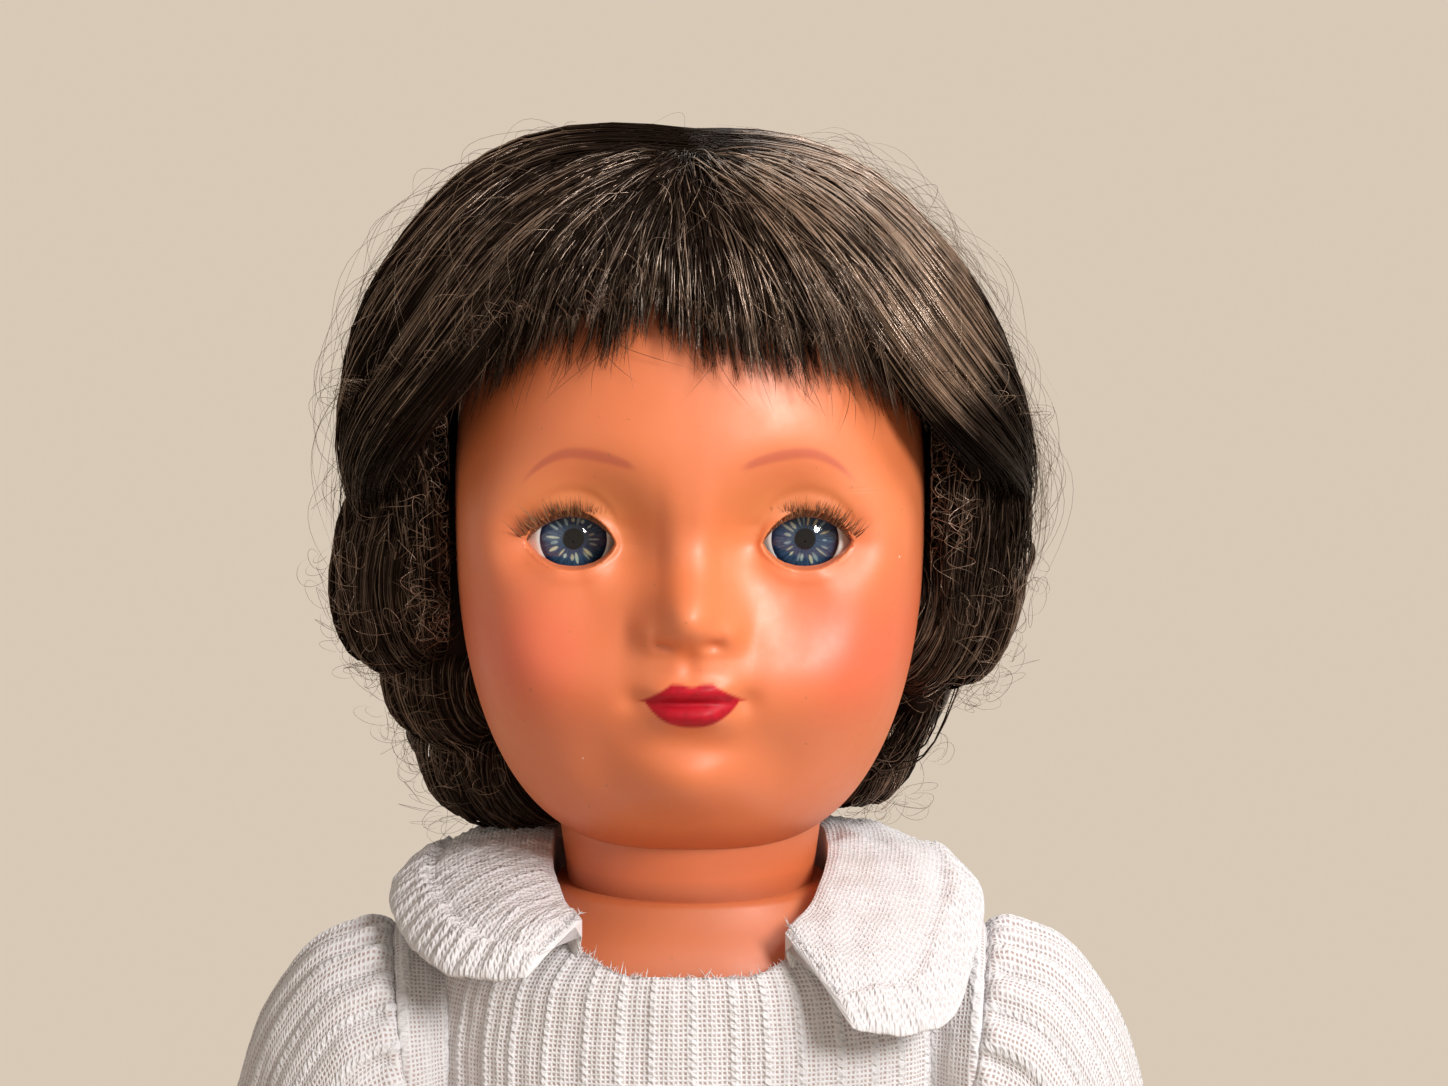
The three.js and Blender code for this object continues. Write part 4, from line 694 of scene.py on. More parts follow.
def iris_colours(radius, angle, seed):
    """Blue iris with pale flecks round a black pupil and a dark edge."""
    rng = np.random.default_rng(seed)
    deep, mid = np.array([0.016, 0.038, 0.082]), np.array([0.066, 0.135, 0.235])
    fibres = sum(np.cos(n * angle + rng.uniform(0, TAU) + 2.0 * radius) for n in (23, 37, 51, 71)) / 4
    share = np.clip(0.55 + 0.5 * fibres - 0.8 * np.abs(radius - 0.55), 0, 1)[..., None]
    colour = mix(deep, mid, share)
    for k in range(19):
        centre = (k + rng.uniform(-0.3, 0.3)) * TAU / 19
        first, last = rng.uniform(0.38, 0.52), rng.uniform(0.62, 0.82)
        off = np.abs((angle - centre + math.pi) % TAU - math.pi) * radius
        along = np.clip((radius - first) / (last - first), 0, 1)
        width = rng.uniform(0.02, 0.05) * np.sin(math.pi * along) ** 0.7 + 1e-6
        petal = (np.clip((width - off) / 0.035 + 0.5, 0, 1) * (radius > first) * (radius < last))[..., None]
        tone = mix(np.array([0.66, 0.66, 0.38]), np.array([0.40, 0.62, 0.66]), rng.uniform(0, 1))
        colour = mix(colour, tone, petal * rng.uniform(0.5, 1.0))
    edge = ease(0.76, 0.95, radius)[..., None]
    colour = mix(colour, np.array([0.008, 0.018, 0.05]), edge)
    pupil = ease(0.34, 0.29, radius)[..., None]
    return mix(colour, np.array([0.002, 0.002, 0.003]), pupil)


def cap_points(radius, first, last, rows, columns):
    """A band of a ball round -Y, from one angle to another."""
    polar = np.linspace(first, last, rows)[:, None]
    turn = (np.arange(columns) * TAU / columns)[None]
    return radius * np.stack([np.sin(polar) * np.cos(turn), -np.cos(polar) + 0 * turn,
                              np.sin(polar) * np.sin(turn)], -1)


def round_piece(name, rings, centre, attributes=None):
    """A piece from closed rings of points round an eye's middle."""
    rows, columns = rings.shape[:2]
    return mesh_piece(name, rings.reshape(-1, 3) + centre, grid_faces(rows, columns, True), attributes)


def build_eye(name, side, finishes):
    """One sleep eye: white, iris, cornea, lid and lashes."""
    centre = np.array([side * EYE_SPREAD, EYE_Y, EYE_HEIGHT])
    iris_edge = math.asin(IRIS_RADIUS / EYE_RADIUS)
    white = cap_points(EYE_RADIUS, iris_edge, 2.9, 40, 96)
    lip = white[:1] * np.array([0.975, 0.95, 0.975])
    ball_piece = round_piece(f"eye_white_{name}", np.concatenate([lip, white]), centre)
    wear(ball_piece, finishes["white"], "eyes", [f"eyeball_{name}"])

    rows, columns, iris_depth, dish = 56, 288, -7.55, 0.55
    a, r = np.meshgrid(np.arange(columns) * TAU / columns, np.linspace(0.02, 1, rows))
    depth = iris_depth + dish * r**2 * (r < 0.999)
    disc = np.stack([IRIS_RADIUS * r * np.cos(a), depth, IRIS_RADIUS * r * np.sin(a)], -1)
    tint = iris_colours(r, a, 11 if side > 0 else 12)
    iris = round_piece(f"iris_disc_{name}", disc, centre, {"iris": tint.reshape(-1, 3)})
    wear(iris, finishes["iris"], "eyes", [f"iris_{name}"])

    # The cornea swells a little in front of the ball, so its glint sits near the pupil.
    dome = cap_points(EYE_RADIUS + 0.03, 0.01, iris_edge + 0.03, 24, 96)
    swell = np.maximum(0, 1 - (np.linspace(0, 1, len(dome)) / 0.8) ** 2) ** 2
    dome *= (1 + 0.055 * swell)[:, None, None]
    cornea = round_piece(f"cornea_dome_{name}", dome, centre)
    wear(cornea, finishes["cornea"], "eyes", [f"cornea_{name}"])
    build_lid(name, side, centre, finishes["lid"])
    build_lashes(name, side, centre, finishes["lash"])


def build_lid(name, side, centre, finish):
    """The lid is a hood over the ball with a rounded edge."""
    columns, half_width, edge_round = 73, 9.3, 0.12
    dx = np.linspace(-half_width, half_width, columns)
    edge = np.where(np.abs(dx) < OPENING, upper_rim(side * dx), 0) - LID_SHOWS
    rows = []
    middle = mix(LID_INSIDE, LID_OUTSIDE, 0.5)
    for radius, lift in ((LID_INSIDE, edge_round), (middle, 0.0), (LID_OUTSIDE, edge_round)):
        rho = np.sqrt(radius**2 - dx**2)
        rows.append(np.stack([dx, -np.sqrt(rho**2 - (edge + lift) ** 2), edge + lift], -1))
    rho = np.sqrt(LID_OUTSIDE**2 - dx**2)
    low, shares = np.arcsin((edge + edge_round) / rho), np.linspace(0.04, 1, 24)
    for share in shares:
        angle = mix(low, math.radians(84), share)
        rows.append(np.stack([dx, -rho * np.cos(angle), rho * np.sin(angle)], -1))
    # The edge values mark the lid's lower edge, where the lid material paints shade under the rim.
    shade = np.repeat(np.concatenate([[1, 1, 1], 1 - shares])[:, None], columns, 1)
    hood = mesh_piece(f"eyelid_hood_{name}", np.stack(rows).reshape(-1, 3) + centre,
                      grid_faces(len(rows), columns), {"edge": shade.ravel()})
    wear(hood, finish, "eyes", [f"eyelid_{name}"])


def build_lashes(name, side, centre, finish):
    """Lashes stand along the lid's edge and curve up over the rim."""
    rng = np.random.default_rng(31 + side)
    count = 170
    s = np.linspace(-6.7, 6.7, count) + rng.uniform(-0.12, 0.12, count)
    z0 = upper_rim(side * s) - LID_SHOWS + 0.1
    y0 = -np.sqrt((LID_OUTSIDE + 0.02) ** 2 - s**2 - z0**2)
    length = rng.uniform(4.0, 5.8, count) * (0.85 + 0.15 * almond(side * s))
    t = np.linspace(0, 1, 9)[None]
    fan = (0.07 * s + side * 0.08 + rng.normal(0, 0.14, count))[:, None] * length[:, None]
    out = length[:, None] * (0.94 * t - 0.24 * t**2)
    rise = length[:, None] * (0.06 * t + (0.55 + rng.uniform(-0.14, 0.14, count))[:, None] * t**2.2)
    paths = np.stack([s[:, None] + fan * t**1.4, y0[:, None] - out, z0[:, None] + rise], -1) + centre
    radius, tint = rng.uniform(0.055, 0.095, count), rng.uniform(0.0, 1.0, count)
    lashes = mesh_piece(f"lash_hairs_{name}", *tubes(paths, radius, tint, centre))
    wear(lashes, finish, "eyes", [f"lashes_{name}"])


def eye_finishes():
    """Materials of the white, iris, cornea, lid and lashes."""
    white, tree, shader = new_material("Eye White")
    milky = span(tree, noise(tree, 240, 3), 0.3, 0.7)
    feed(tree, shader, {
        "Base Color": blend_colours(tree, milky, (0.80, 0.78, 0.74, 1), (0.74, 0.71, 0.67, 1)),
        "Roughness": span(tree, milky, 0, 1, 0.1, 0.16),
        "Subsurface Weight": 0.1,
        "Subsurface Scale": 0.002,
    })

    iris, tree, shader = new_material("Blue Iris")
    speck = span(tree, noise(tree, 2600, 2), 0.3, 0.7, 0.8, 1.15)
    speckled = node(tree, "ShaderNodeVectorMath", {0: read(tree, "iris", True), "Scale": speck},
                    operation="SCALE")
    feed(tree, shader, {
        "Base Color": speckled.outputs[0],
        "Roughness": span(tree, speck, 0.8, 1.15, 0.4, 0.5),
        "Specular IOR Level": 0.08,
    })

    cornea, tree, shader = new_material("Clear Cornea")
    clear = node(tree, "ShaderNodeBsdfTransparent", {"Color": (0.97, 0.98, 0.99, 1)})
    smear = span(tree, noise(tree, 900, 2), 0.3, 0.7, 0.015, 0.06)
    gloss = node(tree, "ShaderNodeBsdfGlossy", {"Color": (1, 1, 1, 1), "Roughness": smear})
    facing = node(tree, "ShaderNodeFresnel", {"IOR": 1.42}).outputs[0]
    feed(tree, tree.nodes["Material Output"], {"Surface": blend_shaders(tree, facing, clear, gloss)})
    tree.nodes.remove(shader)

    lid, tree, shader = new_material("Painted Lid")
    grain = span(tree, noise(tree, 600, 3), 0.3, 0.7)
    tone = blend_colours(tree, grain, (0.92, 0.56, 0.34, 1), (0.86, 0.44, 0.24, 1))
    # The lid darkens to its lower edge: painted shade under the rim.
    lid_edge_shade = times(tree, calc(tree, "POWER", read(tree, "edge"), 60.0), 0.75)
    feed(tree, shader, {
        "Base Color": blend_colours(tree, lid_edge_shade, tone, (0.16, 0.05, 0.028, 1)),
        "Roughness": span(tree, grain, 0, 1, 0.34, 0.46),
    })

    lash, tree, shader = new_material("Lash Hair")
    feed(tree, shader, {
        "Base Color": blend_colours(tree, read(tree, "tint"), (0.045, 0.016, 0.007, 1),
                                    (0.46, 0.23, 0.11, 1)),
        "Roughness": span(tree, noise(tree, 800, 2), 0.3, 0.7, 0.4, 0.55),
    })
    return {"white": white, "iris": iris, "cornea": cornea, "lid": lid, "lash": lash}


# The wig.

def hair_depth(d):
    """How thick the wig is on the head: fullest at the sides, and higher on the doll's right."""
    level = np.maximum(np.hypot(d[..., 0], d[..., 1]), 1e-9)
    up = np.maximum(0, d[..., 2])
    sideways = (np.abs(d[..., 0]) / level) ** 2 * (1 - up**1.6)
    rear = np.maximum(0, d[..., 1] / level) * (1 - up)
    fuller = np.maximum(0, -d[..., 0]) * up
    return 7 + 1.4 * up**4 + 11 * sideways + 2 * rear + 8.0 * fuller


def hair_point(d, share):
    """A place in the wig: share 0 lies on the scalp and 1 on the outside."""
    return d * (head_distance(d) + 0.4 + hair_depth(d) * share)[..., None] + HEAD_CENTRE


# The lower edge of the fringe, from the doll's right temple to its left: X and height.
FRINGE = np.array([(-37, 451), (-33, 455.5), (-29, 459.6), (-24.6, 463.6), (-20.6, 467.2), (-14, 467.2),
                   (-8, 470.4), (-4.6, 472.8), (0, 469.2), (4.6, 467.2), (15.4, 465.6), (21.6, 464),
                   (26.2, 461), (30.8, 456.8), (37, 450)], float)
# Round the sides and the back the smooth hair ends at these elevations: azimuth, degrees up.
SIDES = np.array([(84, 8), (100, -2), (125, -18), (150, -30), (180, -35), (210, -30), (235, -18),
                  (260, -5), (276, 2)], float)


def wig_edge():
    """The lower edge of the combed hair as directions: azimuth and elevation."""
    x, z = FRINGE.T
    rise = (z - HEAD_MIDDLE) / (HEAD_TOP - HEAD_MIDDLE)
    level = np.maximum(0, 1 - rise**CROWN_POWER) ** (1 / CROWN_POWER)
    forward = level**HEAD_POWER - np.abs(x / HEAD_HALF_WIDTH) ** HEAD_POWER
    y = -FACE_DEPTH * np.maximum(0.02, forward) ** (1 / HEAD_POWER)
    front = np.degrees(np.arctan2(x, -y))
    lift = np.degrees(np.arctan2(z - HEAD_MIDDLE, np.hypot(x, y)))
    azimuth = np.concatenate([front, SIDES[:, 0]])
    elevation = np.concatenate([lift, SIDES[:, 1]])
    azimuth = np.where(azimuth < front[0] - 0.01, azimuth + 360, azimuth)
    order = np.argsort(azimuth)
    azimuth, elevation = azimuth[order], elevation[order]
    return np.append(azimuth, azimuth[0] + 360), np.append(elevation, elevation[0])


EDGE_AZIMUTH, EDGE_ELEVATION = wig_edge()


def edge_elevation(azimuth):
    """Degrees up of the combed hair's lower edge at an azimuth in degrees."""
    turned = (azimuth - EDGE_AZIMUTH[0]) % 360 + EDGE_AZIMUTH[0]
    return np.interp(turned, EDGE_AZIMUTH, EDGE_ELEVATION)


def slerp(a, b, t):
    """Directions turned evenly from a to b."""
    dot = np.clip((a * b).sum(-1), -1, 1)[:, None]
    angle = np.arccos(dot)
    s = np.maximum(np.sin(angle), 1e-6)
    return ((np.sin((1 - t) * angle) / s)[..., None] * a[:, None]
            + (np.sin(t * angle) / s)[..., None] * b[:, None])


def parting(azimuth, rng):
    """Where a hair leaves the scalp: along a short parting, further back for hair that goes back."""
    rear = ease(50, 165, np.abs(azimuth))
    x = rng.normal(0, 0.7, len(azimuth))
    y = -13 + 34 * rear + rng.normal(0, 1.6, len(azimuth))
    return unit(np.stack([x, y - HEAD_Y, np.full(len(azimuth), 50.0)], -1))


def bowed(first, half, last, t):
    """Paths from one end to the other that pass a third place half way."""
    middle = 2 * half - (first + last) / 2
    return (1 - t) ** 2 * first[:, None] + 2 * t * (1 - t) * middle[:, None] + t**2 * last[:, None]


def combed_hair(count, seed):
    """Hair from the parting in locks: a layered fringe, sweeps past the temples, the sides and the back."""
    rng = np.random.default_rng(seed)
    locks = 1500
    part = rng.choice(3, locks, p=(0.42, 0.26, 0.32))
    sign, lock_k = rng.choice([-1, 1], locks), rng.uniform(0, 1, locks)
    # The fringe is cut in layers: short locks lie over the long ones.
    short = (part == 0) & (rng.uniform(0, 1, locks) < 0.5)
    lock_cut = np.where(short, rng.uniform(2, 25, locks), 0)
    lock_len, lock_bend = rng.normal(0, 1.0, locks), rng.normal(0, 0.9, locks)
    lock_lift = np.where(short, rng.uniform(-0.08, 0.08, locks), rng.uniform(-0.34, 0.05, locks))
    # Each lock has a random tone; locks that lie lower are darker: painted shade under the top layer.
    lock_tone = (0.35 + 0.65 * rng.beta(0.8, 0.8, locks)) * ease(-0.4, -0.02, lock_lift)
    lock_tip = np.where(short, rng.uniform(0.7, 1.05, locks), rng.uniform(0.25, 0.7, locks))
    lock = rng.integers(0, locks, count)
    fringe, sweep, k = part[lock] == 0, part[lock] == 1, lock_k[lock]
    spread = rng.normal(0, 1.0, count)
    az = np.where(fringe, mix(-57, 57, k) + 0.36 * spread,
                  sign[lock] * (np.where(sweep, mix(93, 130, k), mix(80, 180, k)) + 0.7 * spread))
    el = edge_elevation(az) + lock_len[lock] * 1.8 + rng.uniform(-2.2, 1.0, count)
    el = el + lock_cut[lock] + fringe * rng.uniform(0, 2.5, count)
    start = parting(az, rng)
    end = direction(np.radians(az), np.radians(el))
    # A sweep is carried forward over the temple on its way to the ear.
    half_az = sign[lock] * (mix(47, 88, k) + 0.5 * spread)
    half_el = mix(edge_elevation(half_az) + 0.4, 47, k) + np.abs(lock_len[lock])
    half = np.where(sweep[:, None], direction(np.radians(half_az), np.radians(half_el)), unit(start + end))
    steps = 18
    t = np.broadcast_to(np.linspace(0, 1, steps) ** 0.94, (count, steps))
    d = unit(np.where(sweep[:, None, None], bowed(start, half, end, t[..., None]), slerp(start, end, t)))
    layer = 1 - 0.22 * rng.uniform(0, 1, count) ** 1.4
    tip = np.where(fringe, lock_tip[lock], 0.86)[:, None]
    rise = 0.70 + 0.30 * ease(0, 0.34, t)
    share = (layer + lock_lift[lock])[:, None] * rise * mix(1, tip, ease(0.6, 1, t))
    p = hair_point(d, share)
    across = unit(np.cross(unit(np.gradient(p, axis=1)), d))
    wave = (rng.uniform(0.06, 0.34, count)[:, None]
            * np.sin(TAU * (rng.uniform(0.6, 2.2, count)[:, None] * t + rng.uniform(0, 1, count)[:, None])))
    bend = (lock_bend[lock] + 0.35 * spread)[:, None] * np.sin(math.pi * t)
    p = p + across * ((wave + bend) * ease(0, 0.25, t))[..., None]
    # Pale hairs are more common on the doll's left, which faces the key light: painted sheen.
    pale = rng.uniform(0, 1, count) < 0.36 + 0.42 * ease(10, 60, az)
    tone = lock_tone[lock] * np.where(pale, rng.uniform(0.6, 1.15, count), rng.uniform(0, 0.3, count))
    # Painted light along the hairs: a pale sheen band part way down on the doll's left, a weaker one near the
    # parting on its right, and painted shade further down on the left away from the fringe.
    lit = ease(10, 60, az)[:, None]
    band = 5.5 * lit * ease(0.66, 0.45, t) + 0.8 * ease(-20, -60, az)[:, None] * ease(0.55, 0.3, t)
    tone = tone[:, None] * (1 + band) * (1 - 0.92 * lit * ~fringe[:, None] * ease(0.47, 0.66, t))
    # Painted shade darkens the hair at the parting, and a painted highlight makes the fringe palest just above
    # its cut ends.
    root = np.where(np.abs(az) > 120, 0.22, 0.02)[:, None]
    fringe_highlight = 0.5 + 0.8 * ease(0.4, 0.75, t) * ease(1.02, 0.9, t)
    tint = np.clip(tone * mix(root, 1, ease(0.08, 0.4, t)) * np.where(fringe[:, None], fringe_highlight, 1), 0, 1)
    return p, rng.uniform(0.085, 0.165, count), tint


# Rolls of hair turned under, at the doll's right side, at its left and round the nape: middle,
# outward heading in degrees from the front, half length, outward and upward radii, slant and hairs.
ROLLS = [
    ((-44, 7, 431.5), -52, 11.5, 10.5, 18.0, 0.20, 700),
    ((-37.8, 8, 414), -44, 10.0, 9.0, 11.0, -0.25, 420),
    ((-30.8, 14, 400), -36, 11.5, 11.0, 10.8, -0.45, 520),
    ((40, 7, 427.5), 46, 12.0, 10.2, 16.0, 0.42, 640),
    ((45, 13, 440), 66, 8.0, 7.0, 9.5, 0.3, 260),
    ((27, 14.5, 402.5), 36, 8.5, 8.4, 10.2, 0.35, 400),
    ((-19, 32, 407), -150, 11.0, 12.0, 15.0, 0.2, 420),
    ((0, 36, 407), 180, 11.0, 12.0, 15.0, -0.15, 420),
    ((19, 32, 407), 150, 11.0, 12.0, 15.0, 0.25, 420),
]


def roll_axes(heading):
    """A roll's own axes: outward, along and up."""
    h = math.radians(heading)
    outward = np.array([math.sin(h), -math.cos(h), 0.0])
    return outward, np.array([-outward[1], outward[0], 0.0]), np.array([0, 0, 1.0])


ROLL_STEPS = 20
# Each turn of the curl round the nape: half width, depth, and the heights between which it lies.
NAPE_CURL = ((43, 43, 421, 431), (36, 42, 403, 412), (29, 33, 398, 404), (25, 27, 405, 415))


def dark_tones(rng, count, rarity):
    """One tone for the whole of each hair: most are dark and a few are pale."""
    tone = np.clip(0.9 * rng.beta(0.8, rarity, count), 0, 1)
    return np.repeat(tone[:, None], ROLL_STEPS, 1)


def roll_group(rng, middle, heading, half, out, up, slant, count):
    """Hair wound over one roll: down the outside, under and up inside, with a swirl at the front end."""
    outward, side, upward = roll_axes(heading)
    swirl, locks = int(count * 0.4), 34
    total = count + swirl
    lock_s, lock_tone = rng.uniform(-1, 1, locks), rng.beta(0.9, 2.6, locks)
    lock_in, lock_skew = rng.uniform(0, 0.14, locks), rng.normal(0, 0.16, locks)
    lock = rng.integers(0, locks, total)
    s = np.clip(lock_s[lock] + rng.normal(0, 0.05, total), -1, 1)
    layer = 1 - lock_in[lock] - 0.12 * rng.uniform(0, 1, total)
    front = 1.0 if side[1] < 0 else -1.0
    s[count:] = front * rng.uniform(0.72, 1.0, swirl)
    layer[count:] = rng.uniform(0.25, 1.0, swirl)
    first = np.radians(rng.uniform(95, 150, total))
    last = np.radians(rng.uniform(-215, -150, total))
    t = np.linspace(0, 1, ROLL_STEPS)[None]
    angle = mix(first[:, None], last[:, None], t)
    fall = mix(1.0, 0.66, ease(math.radians(-70), math.radians(-210), angle))
    round_end = np.maximum(0.12, 1 - np.abs(s) ** 2.8) ** 0.45
    round_end[count:] = np.maximum(round_end[count:], 0.62)
    girth = (round_end * layer)[:, None] * fall
    skew = slant + lock_skew[lock]
    drift = s[:, None] * half + (skew * half * 0.6)[:, None] * np.sin(angle)
    sway, phase = rng.uniform(0.1, 0.5, total)[:, None], rng.uniform(0, 1, total)[:, None]
    drift = drift + sway * np.sin(TAU * (t * 1.3 + phase))
    p = (np.array(middle, float) + drift[..., None] * side
         + (girth * out * np.cos(angle))[..., None] * outward
         + (girth * up * np.sin(angle))[..., None] * upward)
    radius = rng.uniform(0.12, 0.2, total)
    tone = np.clip(0.75 * lock_tone[lock] + 0.55 * rng.beta(0.9, 3.2, total), 0, 1)
    return p, radius, np.repeat(tone[:, None], ROLL_STEPS, 1)


def temple_group(rng, sign):
    """Hair that falls beside the face from the fringe's ends into the rolls."""
    count = 620
    az = sign * rng.uniform(62, 96, count)
    d = direction(np.radians(az), np.radians(rng.uniform(12, 34, count)))
    places = [hair_point(d, rng.uniform(0.45, 0.9, count))]
    back = rng.uniform(0, 1, count)
    for x, wider, y, low, high in ((38.2, 12, -9, 441, 449), (37.6, 9, -7, 420, 434)):
        across = sign * (x + wider * back + rng.uniform(0, 2.5, count))
        places.append(np.stack([across, y + 13 * back, rng.uniform(low, high, count)], -1))
    t = np.linspace(0, 1, ROLL_STEPS)[None, :, None]
    sway, turns = rng.normal(0, 0.7, (count, 1, 3)), rng.uniform(0.7, 1.6, (count, 1, 1))
    sway = sway * np.sin(TAU * (t * turns + rng.uniform(0, 1, (count, 1, 1))))
    p = bowed(*places, t) + sway * np.sin(math.pi * t)
    return p, rng.uniform(0.10, 0.17, count), dark_tones(rng, count, 2.6)


def nape_group(rng, sign):
    """Hair from behind the ears that curls under round the nape."""
    count = 700
    az = np.radians(rng.uniform(92, 182, count))
    around = np.stack([sign * np.sin(az), -np.cos(az)], -1)
    d = direction(sign * az, np.radians(rng.uniform(-12, 14, count)))
    knots = [hair_point(d, rng.uniform(0.5, 0.95, count))]
    for wide, deep, low, high in NAPE_CURL:
        loose = rng.uniform(-2.5, 1.5, count)[:, None]
        out = (np.array([wide, deep]) + loose) * around + np.array([0, HEAD_Y])
        knots.append(np.concatenate([out, rng.uniform(low, high, (count, 1))], 1))
    p = through(np.linspace(0, 1, len(knots)), np.stack(knots), np.linspace(0, 1, ROLL_STEPS))
    return p.transpose(1, 0, 2), rng.uniform(0.11, 0.18, count), dark_tones(rng, count, 2.2)


def rolled_hair(seed):
    """All the hair that is rolled, falls beside the face or curls round the nape."""
    rng = np.random.default_rng(seed)
    groups = [roll_group(rng, *roll) for roll in ROLLS]
    groups += [temple_group(rng, sign) for sign in (-1, 1)]
    groups += [nape_group(rng, sign) for sign in (-1, 1)]
    return [np.concatenate(part) for part in zip(*groups)]


def drawn(root, *moves):
    """Paths from roots: each move is a way for every hair, and how far along it at each step."""
    return root[:, None] + sum(way[:, None] * far[..., None] for way, far in moves)


def outline_strays(rng, t):
    """Fine loose hair all over the combed wig, short of the fringe's edge in front."""
    count = 1250
    az = rng.uniform(-180, 180, count)
    el = np.degrees(np.arcsin(rng.uniform(0.02, 0.95, count)))
    el = np.maximum(el, edge_elevation(az) + 4)
    base = direction(np.radians(az), np.radians(el))
    root = hair_point(base, rng.uniform(0.85, 0.98, count))
    top = np.array([0, -0.15, 1.0])
    comb = unit(base * (base @ top)[:, None] - top)
    side = np.cross(comb, base)
    lean = rng.normal(0, 0.55, count)[:, None]
    heading = unit(comb + lean * side)
    length = rng.uniform(9, 34, count)
    room = np.radians(el - edge_elevation(az)) * 56 - 2
    length = np.where(np.abs(az) < 78, np.minimum(length, np.maximum(2.5, room)), length)[:, None]
    lift = 0.4 + 5.4 * rng.uniform(0, 1, count)[:, None] ** 2
    curl = rng.normal(0, 0.16, count)[:, None] * length
    rise = lift * np.sin(math.pi * np.minimum(1, t * 1.1)) - length**2 * t**2 / 120
    p = drawn(root, (heading, length * t), (base, rise), (side, curl * np.sin(math.pi * t * 1.2)))
    return p, rng.uniform(0.024, 0.04, count), rng.uniform(0.2, 0.9, count)


def roll_strays(rng, t, middle, heading, half, out, up, count):
    """Small open loops that stand off one roll."""
    outward, along, upward = roll_axes(heading)
    s, angle = rng.uniform(-1, 1, count), np.radians(rng.uniform(-120, 110, count))
    cosine, sine = np.cos(angle)[:, None], np.sin(angle)[:, None]
    normal = unit(cosine * outward + sine * upward + 0.3 * s[:, None] * along)
    root = (np.array(middle, float) + (s * half * 0.8)[:, None] * along
            + 0.92 * (cosine * out * outward + sine * up * upward))
    a = unit(np.cross(normal, rng.normal(0, 1, (count, 3))))
    b = np.cross(normal, a)
    size = rng.uniform(1.2, 4.2, count)[:, None]
    turned = TAU * rng.uniform(0.35, 0.95, count)[:, None] * t
    p = drawn(root, (normal, size * 0.75 * np.sin(math.pi * t * 0.9)),
              (a, size * (1 - np.cos(turned)) * 0.8), (b, size * np.sin(turned) + size * t))
    return p, rng.uniform(0.024, 0.04, count), rng.uniform(0.2, 1.0, count)


def temple_curls(rng, t, sign, count, low, high):
    """Short curls beside the face, kept clear of the cheek."""
    z = rng.uniform(low, high, count)
    root = np.stack([sign * rng.uniform(36.5, 42, count), rng.uniform(-13, -4, count), z], -1)
    a = unit(rng.normal(0, 1, (count, 3)) * np.array([0.6, 0.5, 1.0]))
    b = unit(np.cross(a, rng.normal(0, 1, (count, 3))))
    size = rng.uniform(1.2, 3.6, count)[:, None]
    p = drawn(root, (a, size * 1.6 * t), (b, size * 0.7 * np.sin(math.pi * 1.5 * t)))
    p[..., 0] = sign * np.maximum(np.abs(p[..., 0]), 36.6)
    return p, rng.uniform(0.035, 0.065, count), rng.uniform(0.3, 1.0, count)


def forehead_hairs(rng, t):
    """A few hairs that have come down over the forehead."""
    count = 38
    az = rng.uniform(-46, 46, count)
    first, last = edge_elevation(az) + 2, edge_elevation(az) - rng.uniform(2, 9, count)
    sway = rng.normal(0, 7, count)[:, None] * t**1.5
    d = direction(np.radians(az[:, None] + sway), np.radians(mix(first[:, None], last[:, None], t)))
    lift = 0.9 + 1.3 * np.sin(math.pi * t) * rng.uniform(0.2, 1, count)[:, None]
    p = d * (head_distance(d) + lift)[..., None] + HEAD_CENTRE
    p[..., 1] -= 0.9 * hump(np.abs(p[..., 0]), p[..., 2], EYE_SPREAD, BROW, 14, 4.5)
    return p, rng.uniform(0.03, 0.045, count), rng.uniform(0.1, 0.5, count)


def stray_hair(seed):
    """Fine loose hair round the outline and the rolls, at the temples and on the forehead."""
    rng = np.random.default_rng(seed)
    t = np.linspace(0, 1, 14)[None]
    groups = [outline_strays(rng, t)]
    for middle, heading, half, out, up, _, hairs in ROLLS:
        groups.append(roll_strays(rng, t, middle, heading, half, out, up, hairs // 4))
    for sign, count, low, high in ((-1, 260, 424, 459), (1, 170, 436, 456)):
        groups.append(temple_curls(rng, t, sign, count, low, high))
    groups.append(forehead_hairs(rng, t))
    return [np.concatenate(part) for part in zip(*groups)]


